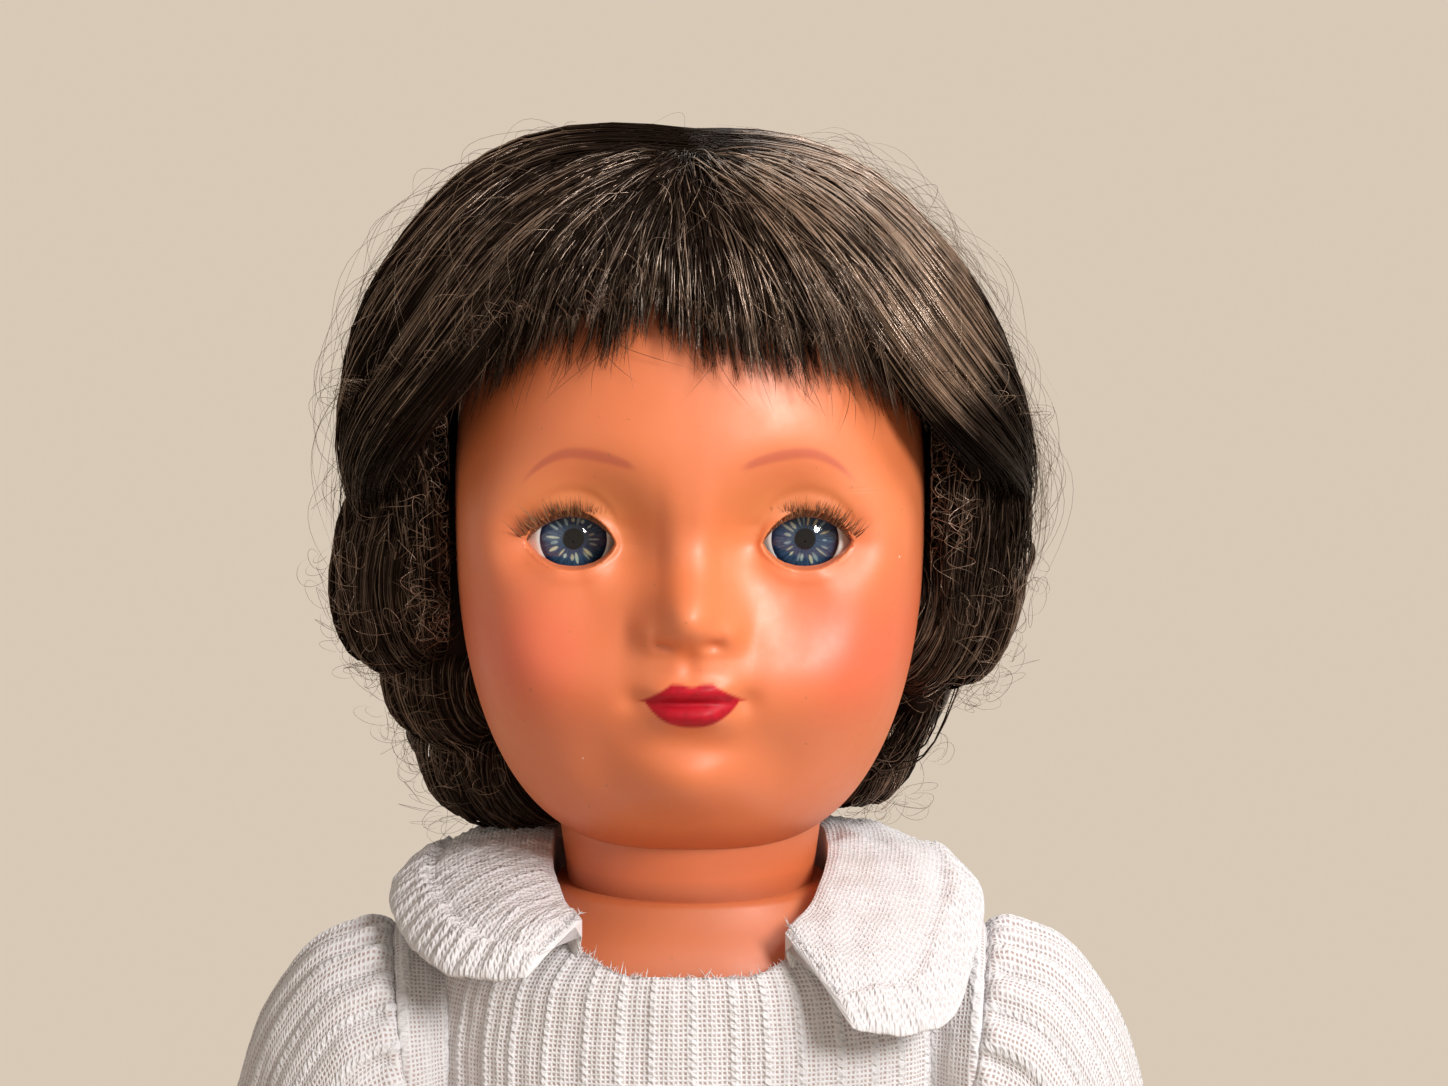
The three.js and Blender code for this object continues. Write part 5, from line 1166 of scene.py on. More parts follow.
def under_hair(finish):
    """The close dark mass that the outer hair lies on, with the cores of the rolls."""
    azimuth = np.arange(160) * 2.25
    low = np.radians(edge_elevation(azimuth) + np.where(np.abs(azimuth - 180) > 96, 9.0, 0.0))
    azimuth = np.radians(azimuth)
    rows = []
    for share, ts in ((0.60, np.linspace(0.0, 1, 46)), (0.05, np.linspace(1, 0.0, 20))):
        for t in ts:
            d = direction(azimuth, mix(math.radians(88), low, t))
            front = ease(0.1, 0.6, -d[:, 1]) * ease(0.6, 1.0, t)
            flat = (1 - 0.7 * front) * mix(0.35, 1.0, ease(0.05, 0.4, t))
            rows.append(hair_point(d, share * flat if share > 0.1 else share))
    parts = [capped(np.stack(rows))]
    for middle, heading, half, out, up, _, _ in ROLLS:
        outward, side, upward = roll_axes(heading)
        points, faces = ball((0, 0, 0), (0.84 * out, 0.86 * half, 0.84 * up), 20, 28)
        parts.append((points @ np.stack([outward, side, upward]) + np.array(middle, float), faces))
    for x in (-1, 1):
        parts.append(ball((x * 35.5, 16, 428), (7.5, 18, 24)))
        parts.append(ball((x * 24, 26, 412), (10, 12, 16)))
    parts.append(ball((0, 33, 413), (28, 11, 16)))
    mass = moulded("wig_under_mass", parts, 1.0, 6)
    tint = mass.data.attributes.new("tint", "FLOAT", "POINT")
    tint.data.foreach_set("value", np.full(len(mass.data.vertices), 0.12, np.float32))
    nodes = ["hair_crown", "wig_lining"] + [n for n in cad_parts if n.startswith("curl_")]
    return wear(mass, finish, "head", nodes)


def hair_pieces(name, hair, finish):
    """Hairs as a few pieces, each of a size that is easy to handle."""
    paths, radii, tints = hair
    each = HAIR_TRIANGLES // (6 * (paths.shape[1] - 1))
    order = np.random.default_rng(1).permutation(len(paths))
    for k, chunk in enumerate(np.array_split(order, math.ceil(len(paths) / each))):
        points, faces, extra = tubes(paths[chunk], radii[chunk], tints[chunk])
        wear(mesh_piece(f"{name}_{k + 1}", points, faces, extra), finish, "head")


def build_wig(settings):
    """The wig's ground, combed hair, rolls and loose hair."""
    finish = hair_material(settings, "Wig Hair")
    under_hair(hair_material(settings, "Wig Ground", 0.3, 0.2))
    hair_pieces("wig_combed", combed_hair(int(settings.hairs * settings.hair_share), 5), finish)
    hair_pieces("wig_rolls", rolled_hair(6), hair_material(settings, "Rolled Hair", 1.1, 0.42))
    # The loose hair gets a paler copy of the hair finish: painted glints on the light-catching strays.
    hair_pieces("wig_strays", stray_hair(7), hair_material(settings, "Stray Hair", 1.5))


# Torso, arms and legs.

# The torso's rows: height, half width, depth to the front, depth to the back and middle Y.
TORSO_ROWS = np.array([
    (185, 8, 9, 10, 3), (188, 20, 19, 22, 3), (198, 33, 29, 31, 3), (212, 41, 33, 33, 3),
    (226, 41, 30, 31, 3), (232, 40, 27, 29, 3), (246, 38, 31, 26, 1), (268, 36, 31, 24, 1),
    (303.2, 37.5, 29, 24, 1),
    (334, 38.6, 28.5, 25, 1), (353, 40, 27, 25, 1), (365, 39.5, 25.5, 25, 1), (372, 36.5, 25, 24, 1.5),
    (377, 29.5, 24, 23, 2.5), (381, 23.5, 22.5, 22.5, 4), (383.6, 20.7, 20.7, 20.7, 4)], float)


def torso_size(z):
    """Half width, depths and middle Y of the torso at each height."""
    return through(TORSO_ROWS[:, 0], TORSO_ROWS[:, 1:], np.asarray(z, float))


def torso_rings(heights, grow, columns):
    """Rings round the torso, grown by a distance."""
    size = torso_size(heights)
    return np.stack([oval_ring(z, w + grow, f + grow, b + grow, columns, 0, y, TORSO_POWER)
                     for z, (w, f, b, y) in zip(heights, size)])


def cut(piece, *tools):
    """Takes closed forms away from a piece."""
    for points, faces in tools:
        tool = mesh_piece("cutter", points, faces)
        settle(piece, ("BOOLEAN", {"operation": "DIFFERENCE", "object": tool, "solver": "EXACT"}))
        bpy.data.objects.remove(tool)
    return piece


def slab(low, high):
    """A box from corner to corner as a closed form."""
    (a, b, c), (d, e, f) = low, high
    points = np.array([(x, y, z) for z in (c, f) for y in (b, e) for x in (a, d)], float)
    return points, np.array([(0, 2, 3, 1), (4, 5, 7, 6), (0, 1, 5, 4),
                             (2, 6, 7, 3), (0, 4, 6, 2), (1, 3, 7, 5)])


def build_torso(skin):
    heights = np.concatenate([np.linspace(TORSO_LOW, 366, 70, False), np.linspace(366, TORSO_TOP, 24)])
    points, faces = capped(torso_rings(heights, 0, 120))
    piece = mesh_piece("torso_skin", points, faces)
    reach = HIP_DISC + 0.4
    tools = [lathe([(NECK_RADIUS + 2.4, NECK_RING + 12), (NECK_RADIUS + 0.45, NECK_RING + 1),
                    (NECK_RADIUS - 0.1, NECK_RING - 2.2), (NECK_RADIUS - 3.9, NECK_RING - 7.4),
                    (NECK_RADIUS - 9.7, NECK_RING - 10), (5.9, NECK_RING - 10.8), (5.9, NECK_RING - 24)],
                   96, centre=(0, NECK_Y, 0))]
    for side in (-1, 1):
        tools.append(ball((side * SHOULDER_X, SHOULDER_Y, SHOULDER), [ARM_SOCKET] * 3, 28, 40))
        near, far = sorted((side * CROTCH, side * 80))
        tools.append(lathe([(reach, near), (reach, far)], 72, "x", (0, HIP_Y, HIP)))
        tools.append(slab((near, HIP_Y - 60, HIP - 70), (far, HIP_Y, HIP + reach)))
        tools.append(slab((near, HIP_Y - 40, HIP - 70), (far, HIP_Y + 40, HIP)))
    tools.append(capped(torso_rings(np.linspace(200, 362, 24), -1.8, 48)))
    cut(piece, *tools)
    return wear(piece, skin, "torso", ["torso_shell"])


# An arm's rows: share of the way to the wrist, middle Y, half width and half depth.
ARM_ROWS = np.array([(0.0, 0, 11.6, 12), (0.2, 0, 11.5, 11.8), (0.37, 0, 11, 11.1), (0.51, -0.5, 10.5, 10.4),
                     (0.66, -2, 10.2, 10), (0.81, -5, 8.6, 8.4), (0.92, -8, 6.4, 6.8),
                     (1, -10, 4.6, 7.6)], float)
# Each finger's Y, length and radius.
FINGERS = [(-16.4, 26, 2.1), (-12.5, 29, 2.2), (-8.5, 28, 2.2), (-4.8, 24, 1.9)]


def tube_form(line, radius, columns=20, steps=16):
    """A finger with a rounded end along a few points."""
    line = np.asarray(line, float)
    t = np.linspace(0, 1, steps)
    path = through(np.linspace(0, 1, len(line)), line, t)
    size = radius * np.where(t < 0.85, 1, np.sqrt(np.maximum(0.05, 1 - ((t - 0.85) / 0.16) ** 2)))
    return capped(np.stack([oval_ring(p[2], r, r, r, columns, p[0], p[1], 2) for p, r in zip(path, size)]))


def build_arm(name, side, skin):
    share = np.linspace(0, 1, 50)
    rows = through(ARM_ROWS[:, 0], ARM_ROWS[:, 1:], share)
    rings = [oval_ring(s * WRIST, w, d, d, 64, 0, y, 2) for s, (y, w, d) in zip(share, rows)]
    parts = [capped(np.stack(rings))]
    parts.append(ball((-0.6, -10.6, WRIST - 5), (4.8, 8.8, 12.2), 24, 32))
    for y, length, radius in FINGERS:
        parts.append(tube_form([(-0.6, y * 0.94 - 0.6, WRIST - 5), (-1.2, y, WRIST - 17),
                                (-3, y, WRIST - length - 1.6)], radius))
    parts.append(tube_form([(-0.6, -13.6, WRIST + 3), (-1.8, -20, WRIST - 5),
                            (-3.4, -21.5, WRIST - 13.5)], 2.5))
    spread = math.radians(ARM_SPREAD)
    points, faces = join_parts(*parts)
    c, s = math.cos(spread), math.sin(spread)
    points = points @ np.array([(c, 0, -s), (0, 1, 0), (s, 0, c)])
    points, faces = join_parts((points, faces), ball((0, 0, 0), [ARM_BALL] * 3, 28, 40))
    points = points * np.array([side, 1, 1]) + np.array([side * SHOULDER_X, SHOULDER_Y, SHOULDER])
    piece = moulded(f"arm_skin_{name}", [(points, faces[:, ::side])], 0.75, 8)
    return wear(piece, skin, f"arm_{name}", [f"arm_{name}"])


# A leg's rows: height, inner and outer X, depth to the front and to the back.
LEG_ROWS = np.array([(206, 16, 43, 22.6, 22.6), (190, 15.8, 43.5, 22.6, 22), (177, 15.6, 43.5, 22.2, 21.5),
                     (159, 5, 43, 21.5, 20.5), (133, 4.6, 41, 19.5, 18.5), (112, 7, 39, 17.4, 16),
                     (95, 7.6, 38.4, 15.6, 16.5), (73.7, 7.6, 38, 14.8, 17), (49.5, 10.6, 35, 12.5, 14.5),
                     (30, 12.8, 32.7, 10.6, 12.4), (17, 12.6, 33, 11.5, 13.5),
                     (3, 13.5, 32.2, 11, 12)], float)
# A foot's rows from heel to toes: Y, half width and height.
FOOT_ROWS = np.array([(25, 5, 9), (21, 9.4, 16), (11, 10.8, 24), (-3, 11, 25), (-17, 12.6, 18.5),
                      (-28, 13.6, 13), (-37, 12.4, 8.4)], float)
# Each toe's X from the middle of the foot, and its radius.
TOES = [(-9.2, 4.3), (-3.6, 3.4), (1.6, 3.2), (6.2, 3.0), (10.2, 2.8)]


def build_leg(name, side, skin):
    heights = np.linspace(3, 206, 80)
    rows = through(LEG_ROWS[::-1, 0], LEG_ROWS[::-1, 1:], heights)
    parts = [capped(np.stack([oval_ring(z, (o - i) / 2, f, b, 64, (o + i) / 2, HIP_Y, 2.15)
                              for z, (i, o, f, b) in zip(heights, rows)]))]
    y = np.linspace(25, -37, 40)
    foot = through(-FOOT_ROWS[:, 0], FOOT_ROWS[:, 1:], -y)
    turn = np.linspace(0, TAU, 48, endpoint=False)
    rings = [np.stack([LEG_X + w * np.cos(turn), np.full(48, v), np.maximum(-2, h * np.sin(turn))], -1)
             for v, (w, h) in zip(y, foot)]
    parts.append(capped(np.stack(rings)))
    for x, r in TOES:
        parts.append(ball((LEG_X + x, -38 + 0.32 * x, r - 0.2), (r * 0.86, r * 1.5, r)))
    face, outer, fork = CROTCH + 0.6, 43.0, 176
    parts.append(lathe([(HIP_DISC - 3, face), (HIP_DISC - 0.8, face + 1.4), (HIP_DISC, face + 6),
                        (HIP_DISC - 0.6, face + 13.7), (HIP_DISC - 4.5, face + 22),
                        (HIP_DISC - 11, outer - 1.6)], 64, "x", (0, HIP_Y, HIP)))
    points, faces = join_parts(*parts)
    piece = moulded(f"leg_skin_{name}", [(points * np.array([side, 1, 1]), faces[:, ::side])], 0.9, 8)
    points = points_of(piece)
    points[:, 2] = np.where(points[:, 2] < 0.5, 0, points[:, 2])
    inner = side * points[:, 0] < face
    points[inner & (points[:, 2] > fork), 0] = side * face
    move_points(piece, points)
    return wear(piece, skin, f"leg_{name}", [f"leg_{name}"])


# The dress.

def rib_height(u, seed=0.0):
    """Raised ribs of the cloth across u, in pairs near the middle: 0 in the gauze, 1 on a rib."""
    wander = 0.35 * np.sin(u * 0.31 + seed) + 0.25 * np.sin(u * 0.83 + 2 * seed)
    phase = (u + wander) / RIB_PITCH
    off = np.abs(phase - np.round(phase)) * RIB_PITCH
    return np.exp(-((off / 0.72) ** 2)) * (0.75 + 0.25 * np.cos(math.pi * np.round(phase)))


def crinkle(p, scale, seed):
    """A slow unevenness over a cloth, about one unit high."""
    k = np.random.default_rng(seed).normal(0, 1, (7, 3)) / scale
    phase = np.random.default_rng(seed + 1).uniform(0, TAU, 7)
    return np.sin(p @ k.T * TAU + phase).sum(-1) / 4


def cloth_piece(name, points, rib, uv, armholes=False):
    """A sheet over a grid of points, with its inner side a cloth's thickness below."""
    rows, columns = points.shape[:2]
    flat = points.reshape(-1, 3)
    piece = mesh_piece(name, flat, grid_faces(rows, columns), {"rib": rib.ravel()}, uv.reshape(-1, 2))
    if armholes:
        cut_armholes(piece)
    settle(piece, ("SOLIDIFY", {"thickness": CLOTH_THICKNESS * MM, "offset": -1.0, "use_rim": True}))
    return piece


def outward_shift(points, amount, wrap=False):
    """Moves a grid of points along its own normals."""
    if wrap:
        across = np.roll(points, -1, 1) - np.roll(points, 1, 1)
    else:
        across = np.gradient(points, axis=1)
    normal = unit(np.cross(across, np.gradient(points, axis=0)))
    return points + normal * amount[..., None]


def lengths(points, axis):
    """Running length along a grid of points."""
    step = np.linalg.norm(np.diff(points, axis=axis), axis=-1)
    return np.concatenate([np.zeros_like(np.take(step, [0], axis)), np.cumsum(step, axis)], axis)


def bodice_panel(first, last, columns, rows, stand):
    """A panel over the torso between two turns, from the waist up to the neckline."""
    turn = np.linspace(first, last, columns)
    heights = np.concatenate([np.linspace(BODICE_LOW, 360, 60, False), np.linspace(360, TORSO_TOP, 90)])
    size = torso_size(heights) + np.array([stand, stand, stand, 0])
    c, s = np.cos(turn), np.sin(turn)
    x = (np.sign(c) * np.abs(c) ** (2 / TORSO_POWER))[None] * size[:, :1]
    depth = np.where(s[None] < 0, size[:, 1:2], size[:, 2:3])
    y = (np.sign(s) * np.abs(s) ** (2 / TORSO_POWER))[None] * depth + size[:, 3:]
    z = heights[:, None] + stand * ease(362, 378, heights)[:, None] + 0 * x
    full = np.stack([x, y, z], -1)
    # The raw neckline runs low and nearly level at the front, and higher round the back.
    inside = z > np.where(s[None] < 0, 374.4 + 5.0 * ease(9, 21, np.abs(x)), 380.5)
    made = np.empty((rows, columns, 3))
    for k in range(columns):
        stop = int(np.argmax(inside[:, k])) if inside[:, k].any() else len(heights)
        line = full[:max(stop, 2), k]
        run = np.concatenate([[0], np.cumsum(np.linalg.norm(np.diff(line, axis=0), axis=-1))])
        at = np.linspace(0, run[-1], rows)
        made[:, k] = np.stack([np.interp(at, run, line[:, i]) for i in range(3)], -1)
    return made


def cut_armholes(piece):
    """Opens the armholes: faces inside the round go, and loose points with them."""
    work = bmesh.new()
    work.from_mesh(piece.data)
    side_seam = 30.0
    gone = [v for v in work.verts if abs(v.co.x) > side_seam * MM
            and math.hypot(v.co.y - SHOULDER_Y * MM, v.co.z - SHOULDER * MM) < ARMHOLE * MM]
    bmesh.ops.delete(work, geom=gone, context="VERTS")
    work.to_mesh(piece.data)
    work.free()


def declare_cloth(width, length):
    """Converts a flat cloth's width and length from millimetres to metres, and keeps neither."""
    width, length = width * MM, length * MM


def build_bodice(cotton):
    # Each panel: its node, first and last turn, columns, how far it stands off the torso, and a seed.
    panels = [("bodice_front", math.pi + 0.02, TAU - 0.02, 250, 2.1, 3),
              ("bodice_back_left", -0.02, math.pi / 2 + 0.17, 132, 2.5, 4),
              ("bodice_back_right", math.pi / 2 - 0.01, math.pi + 0.02, 128, 1.9, 5)]
    for name, first, last, columns, stand, seed in panels:
        base = bodice_panel(first, last, columns, 100, stand - 0.6)
        u, v = lengths(base, 1)[50][None] + 0 * base[..., 0], lengths(base, 0)
        u = u - u[:, columns // 2][:, None]
        rib = rib_height(u, seed)
        rumple = 0.28 * crinkle(base, 26, seed) + 0.08 * crinkle(base, 5, seed + 9)
        points = outward_shift(base, 0.42 * rib + rumple)
        piece = cloth_piece(f"{name}_cloth", points, rib, np.stack([u, v], -1), armholes=True)
        wear(piece, cotton, "torso", [name])
        declare_cloth(float(np.ptp(u)), float(v.max()))
    frayed_edge("neckline_threads", bodice_neckline(), cotton, 21, 420)


def bodice_neckline():
    """The raw edge of the bodice's front at the neck."""
    front = bodice_panel(math.pi + 0.02, TAU - 0.02, 90, 40, 1.9)[-1]
    return front[12:-12]


def frayed_edge(name, line, cotton, seed, count):
    """Loose thread ends along a raw edge."""
    rng = np.random.default_rng(seed)
    at = rng.uniform(0, len(line) - 1.01, count)
    k = at.astype(int)
    root = mix(line[k], line[k + 1], (at - k)[:, None])
    t = np.linspace(0, 1, 7)[None]
    away = np.stack([-root[:, 0] * 0.4, -root[:, 1] * 0.3, np.full(count, 12.0)], -1)
    away = unit(away + rng.normal(0, 0.9, (count, 3)))
    swing = rng.normal(0, 0.8, (count, 3))
    size = rng.uniform(0.2, 0.8, count)[:, None]
    p = drawn(root, (away, size * t), (swing, size * t**2))
    points, faces, extra = tubes(p, rng.uniform(0.05, 0.09, count), np.ones(count), np.array([0, 0, 300.0]))
    piece = mesh_piece(name, points, faces, {"rib": extra["tint"]}, points[:, :2])
    return wear(piece, cotton, "torso")


# Each collar half: its neck edge and its outer edge, from the front end round to the back.
COLLARS = {
    "right": ([(-16.2, -23, 382.4), (-19.8, -13, 385.6), (-21.2, 2, 389), (-18.4, 18.4, 389.8),
               (-3, 26.0, 389.8)],
              [(-25, -33, 375.4), (-38, -25.5, 376), (-45.8, -8, 380.6), (-44.8, 8, 383),
               (-37, 23.5, 380.5), (-6, 33.5, 375)]),
    "left": ([(14.4, -24.5, 381), (19.2, -14, 385), (21.2, 2, 389), (18.4, 18.4, 389.8), (3, 26.0, 389.8)],
             [(25.2, -34, 367.6), (38.4, -28, 367.6), (43.4, -14, 374.8), (45, 3, 381.6),
              (37, 22, 380.5), (6, 33.5, 375)]),
}


def build_collar(name, cotton):
    inner, outer = (np.array(line, float) for line in COLLARS[name])
    ribbed, seed, thread_seed = (1.0, 42, 52) if name == "right" else (0.5, 41, 51)
    steps, around = 150, 72
    v = np.linspace(0, 1, steps)
    near = through(np.linspace(0, 1, len(inner)), inner, v)
    far = through(np.linspace(0, 1, len(outer)), outer, v)
    turn = np.arange(around) * TAU / around
    across = 0.5 - 0.5 * np.cos(turn)
    top = np.sin(turn)
    end = np.sqrt(np.minimum(1, np.minimum(v, 1 - v) / 0.06 + 0.12))
    reach = 1 - 0.10 * (1 - end) * (v < 0.5)
    p = near[:, None] + (far - near)[:, None] * (across[None] * reach[:, None])[..., None]
    width = np.linalg.norm(far - near, axis=1)
    u = across[None] * width[:, None]
    run = np.concatenate([[0], np.cumsum(np.linalg.norm(np.diff(far, axis=0), axis=1))])
    # The ribs run from the neck to a turned and gathered outer edge.
    fan = run[:, None] * (0.62 + 0.38 * across[None])
    rib = rib_height(fan * RIB_PITCH / 2.3, 1.0) * ribbed
    rib = rib * ease(0.02, 0.1, across)[None] * ease(0.92, 0.8, across)[None]
    gather = np.sin(TAU * run / 3.1 + 1.6 * np.sin(run * 0.37))[:, None] * ease(0.70, 0.86, across)[None]
    band = ease(0.70, 0.80, across) - 0.55 * np.exp(-(((across - 0.735) / 0.035) ** 2))
    thick = (0.85 + 0.75 * across**2.0 + 0.95 * band)[None] * end[:, None]
    crown = 1.9 * np.sin(math.pi * across)[None] * end[:, None]
    raised = np.where(top[None] > 0, (0.62 * rib + 0.58 * gather) * np.abs(top[None]) ** 0.3, 0)
    rumple = (0.5 * crinkle(p, 13, seed) + 0.22 * crinkle(p, 4.5, seed + 4)) * end[:, None]
    # The stand: the underside goes down round the neck to the bodice.
    stand = 7.0 * ease(0.14, 0.0, across) * (top < -0.01)
    p[..., 2] += crown + thick * top[None] * 1.15 + raised + rumple - stand[None] * end[:, None]
    rib = np.maximum(rib, 0.58)
    faces_points, faces = capped(p)
    length = np.repeat(run[:, None], around, 1)
    rib, u, length = (np.concatenate([a[:1], a, a[-1:]]) for a in (rib, u, length))
    piece = mesh_piece(f"collar_{name}_cloth", faces_points, faces, {"rib": rib.ravel()},
                       np.stack([u, length], -1).reshape(-1, 2))
    wear(piece, cotton, "torso", [f"collar_{name}"])
    ends = mix(near[2], far[2], np.linspace(0.0, 0.8, 30)[:, None]) + np.array([0, -0.4, 1.2])
    frayed_edge(f"collar_{name}_threads", ends, cotton, thread_seed, 130)


# A sleeve's rows: upper edge in X and Z, lower edge in X and Z, half depth, all from the shoulder's middle.
SLEEVE_ROWS = np.array([(-15, 18.6, -15, -15, 13.0), (-7.5, 20.9, -11.4, -17.8, 18.5),
                        (-0.5, 20.0, -9.8, -19.2, 19.3), (6.5, 16.4, -9.6, -21.5, 19.8),
                        (14, 5, -9.6, -25, 19.8), (18.5, -11, -9.2, -32, 19.0), (22, -29, -7, -41.5, 17.6),
                        (23.8, -43, -2.2, -51.5, 13.8), (23.4, -50, -0.8, -57.5, 12.9)], float)


def build_sleeve(name, side, cotton):
    rows, columns = 120, 240
    t = np.linspace(0, 1, rows)
    row = through(np.linspace(0, 1, len(SLEEVE_ROWS)), SLEEVE_ROWS, t)
    upper, lower = row[:, :2], row[:, 2:4]
    middle, half = (upper + lower) / 2, (upper - lower) / 2
    turn = np.arange(columns) * TAU / columns
    seam = -1.2 * np.exp(-(((t - 0.15) / 0.013) ** 2))
    gather = 1.25 * np.exp(-np.maximum(0, t - 0.17) / 0.2) * ease(0.155, 0.21, t)
    gather = gather + 0.5 * np.exp(-(1 - t) / 0.05)
    pleats = np.cos(21 * turn + 1.7 * np.sin(3 * turn)) * (0.45 + 0.55 * np.cos(turn / 2) ** 2)
    ripple = gather[:, None] * pleats[None]
    slow = 0.8 * np.sin(math.pi * t)[:, None] * np.cos(5 * turn + 0.7)[None]
    radius = np.linalg.norm(half, axis=1)
    ripple = ripple + seam[:, None]
    scale = 1 + (ripple + slow * 0.6) / radius[:, None]
    x = middle[:, :1] + half[:, :1] * np.cos(turn) * scale
    z = middle[:, 1:] + half[:, 1:] * np.cos(turn) * scale
    y = (row[:, 4:] + ripple + slow * 0.6) * np.sin(turn)
    base = np.stack([side * (SHOULDER_X + x), SHOULDER_Y + y, SHOULDER + z], -1)
    if side < 0:
        base = base[:, ::-1]
    girth, ribs = 118.0, 43
    u = np.repeat((turn / TAU * girth)[None], rows, 0)
    if side < 0:
        u = u[:, ::-1]
    v = lengths(base, 0)
    rib = rib_height(u * ribs * RIB_PITCH / girth, 6.0)
    rib = mix(rib_height(np.abs(base[..., 0]) + 0.9, 3.0), rib, ease(0.14, 0.16, t)[:, None])
    points = outward_shift(base, -(0.38 * rib + 0.1 * crinkle(base, 6, 61)), wrap=True)
    points, rib, v = (np.concatenate([a, a[:, :1]], 1) for a in (points, rib, v))
    u = np.concatenate([u, u[:, -1:] + girth / columns], 1)
    piece = cloth_piece(f"sleeve_{name}_cloth", points, rib, np.stack([u, v], -1))
    wear(piece, cotton, None, [f"sleeve_{name}"])
    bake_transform(piece)
    declare_cloth(girth * 1.12, float(v.max()))


def build_skirt(name, side, cotton):
    rows, columns, folds = 110, 300, 8
    t = np.linspace(0, 1, rows)[:, None]
    k = np.linspace(0, 1, columns)[None]
    turn = mix(-math.pi / 2, math.pi / 2, k)
    fold = 4.0 * t**0.8 * np.cos(TAU * folds * k) + 0.9 * np.exp(-t / 0.08) * np.cos(TAU * 26 * k)
    fold = fold + 0.5 * t * np.cos(TAU * 17 * k + 1.0)
    spread = t**0.75
    edge = ease(0, 0.02, k) * ease(1, 0.98, k)
    w = mix(38.3, 66, spread) + fold
    depth = np.where(turn < 0, mix(33.3, 58, spread), mix(26.3, 56, spread))
    c, s = np.abs(np.cos(turn)) ** 0.92, np.sign(turn) * np.abs(np.sin(turn)) ** 0.92
    x = c * w * edge
    y = s * (depth + fold)
    z = mix(SKIRT_TOP, HEM, t) + 0.8 * np.cos(TAU * folds * k) * t
    base = np.stack([side * x, y + 1, z + 0 * k], -1)
    if side < 0:
        base = base[:, ::-1]
    u, v = lengths(base, 1)[60][None] + 0 * base[..., 0], lengths(base, 0)
    rib = rib_height(u, 8.0)
    hem = ease(0.962, 0.966, t) * ease(1.0, 0.998, t)
    points = outward_shift(base, -(0.3 * rib + 0.12 * crinkle(base, 6, 71) + 0.45 * hem))
    piece = cloth_piece(f"skirt_{name}_cloth", points, np.maximum(rib, hem), np.stack([u, v], -1))
    wear(piece, cotton, None, [f"skirt_{name}"])
    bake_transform(piece)
    at = points_of(piece)
    declare_cloth(float(np.ptp(u)) * 1.05, float(v.max()))


def build_buttons(finish, cotton):
    """Milky buttons sewn on with a cross of thread."""
    for k in (1, 2, 3):
        low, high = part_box(f"button_{k}")
        centre = np.array((low + high) / 2) / MM
        profile = [(0.2, 0.0), (3.5, 0.0), (3.95, 0.35), (4.0, 0.75), (3.7, 1.3), (3.3, 1.5),
                   (2.9, 1.35), (2.4, 1.0), (0.2, 0.9)]
        points, faces = lathe(profile, 48)
        points = points[:, [0, 2, 1]] + centre - np.array([0, 0.75, 0])
        piece = mesh_piece(f"button_{k}_disc", points, faces[:, ::-1])
        wear(piece, finish, "torso", [f"button_{k}"])
        threads = np.array([[(-0.9, 0, z), (0, 0.25, 0), (0.9, 0, -z)] for z in (0.5, -0.5)])
        points, faces, _ = tubes(threads + centre + np.array([0, 0.35, 0]), [0.2, 0.2], np.ones(2), centre, 6)
        cross = mesh_piece(f"button_{k}_thread", points, faces, {"rib": np.ones(len(points))},
                           points[:, [0, 2]])
        wear(cross, cotton, "torso")


# Settings and operators.

def colour_setting(name, description, default):
    return FloatVectorProperty(name=name, description=description, default=default, size=3,
                               subtype="COLOR", min=0, max=1)


class DollSettings(bpy.types.PropertyGroup):
    """Sizes and colours of the doll's finish."""

    hairs: IntProperty(name="Combed hairs", description="Hairs from the parting to the fringe and the nape",
                       default=15000, min=500, max=20000)
    hair_share: FloatProperty(name="Hair share", description="Share of the combed hairs that is made",
                              default=1.0, min=0.05, max=1.0, subtype="FACTOR")
    skin: colour_setting("Skin", "Tone of the moulded skin", (0.75, 0.198, 0.061))
    blush: colour_setting("Cheeks", "Tone sprayed on the cheeks", (0.74, 0.082, 0.045))
    lips: colour_setting("Lips", "Lip paint", (0.50, 0.006, 0.020))
    hair: colour_setting("Hair", "Darkest tone of the wig", (0.0115, 0.0065, 0.0045))
    hair_pale: colour_setting("Pale hair", "Palest tone of the wig", (0.225, 0.143, 0.096))
    cotton: colour_setting("Cotton", "Tone of the dress", (0.79, 0.79, 0.81))
    backdrop: colour_setting("Backdrop", "Tone of the floor and backdrop", (0.690, 0.586, 0.476))
    camera_distance: FloatProperty(name="Camera distance", description="From the doll's head to the camera",
                                   default=0.98, min=0.3, max=5, unit="LENGTH")


class DOLL_OT_body(bpy.types.Operator):
    """Mould the head, torso, arms and legs"""

    bl_idname = "doll.body"
    bl_label = "Skin"
    bl_options = {"REGISTER", "UNDO"}

    def execute(self, context):
        skin = skin_material(context.scene.doll, "Celluloid Skin")
        build_head(skin)
        # The torso gets a darker copy of the skin: painted shade on the chest under the chin and collars.
        build_torso(skin_material(context.scene.doll, "Shaded Celluloid Body", 0.66))
        for name, side in SIDES_OF_DOLL:
            build_arm(name, side, skin)
            build_leg(name, side, skin)
        return {"FINISHED"}


class DOLL_OT_eyes(bpy.types.Operator):
    """Set the sleep eyes with their lids and lashes"""

    bl_idname = "doll.eyes"
    bl_label = "Sleep Eyes"
    bl_options = {"REGISTER", "UNDO"}

    def execute(self, context):
        finishes = eye_finishes()
        for name, side in SIDES_OF_DOLL:
            build_eye(name, side, finishes)
        return {"FINISHED"}


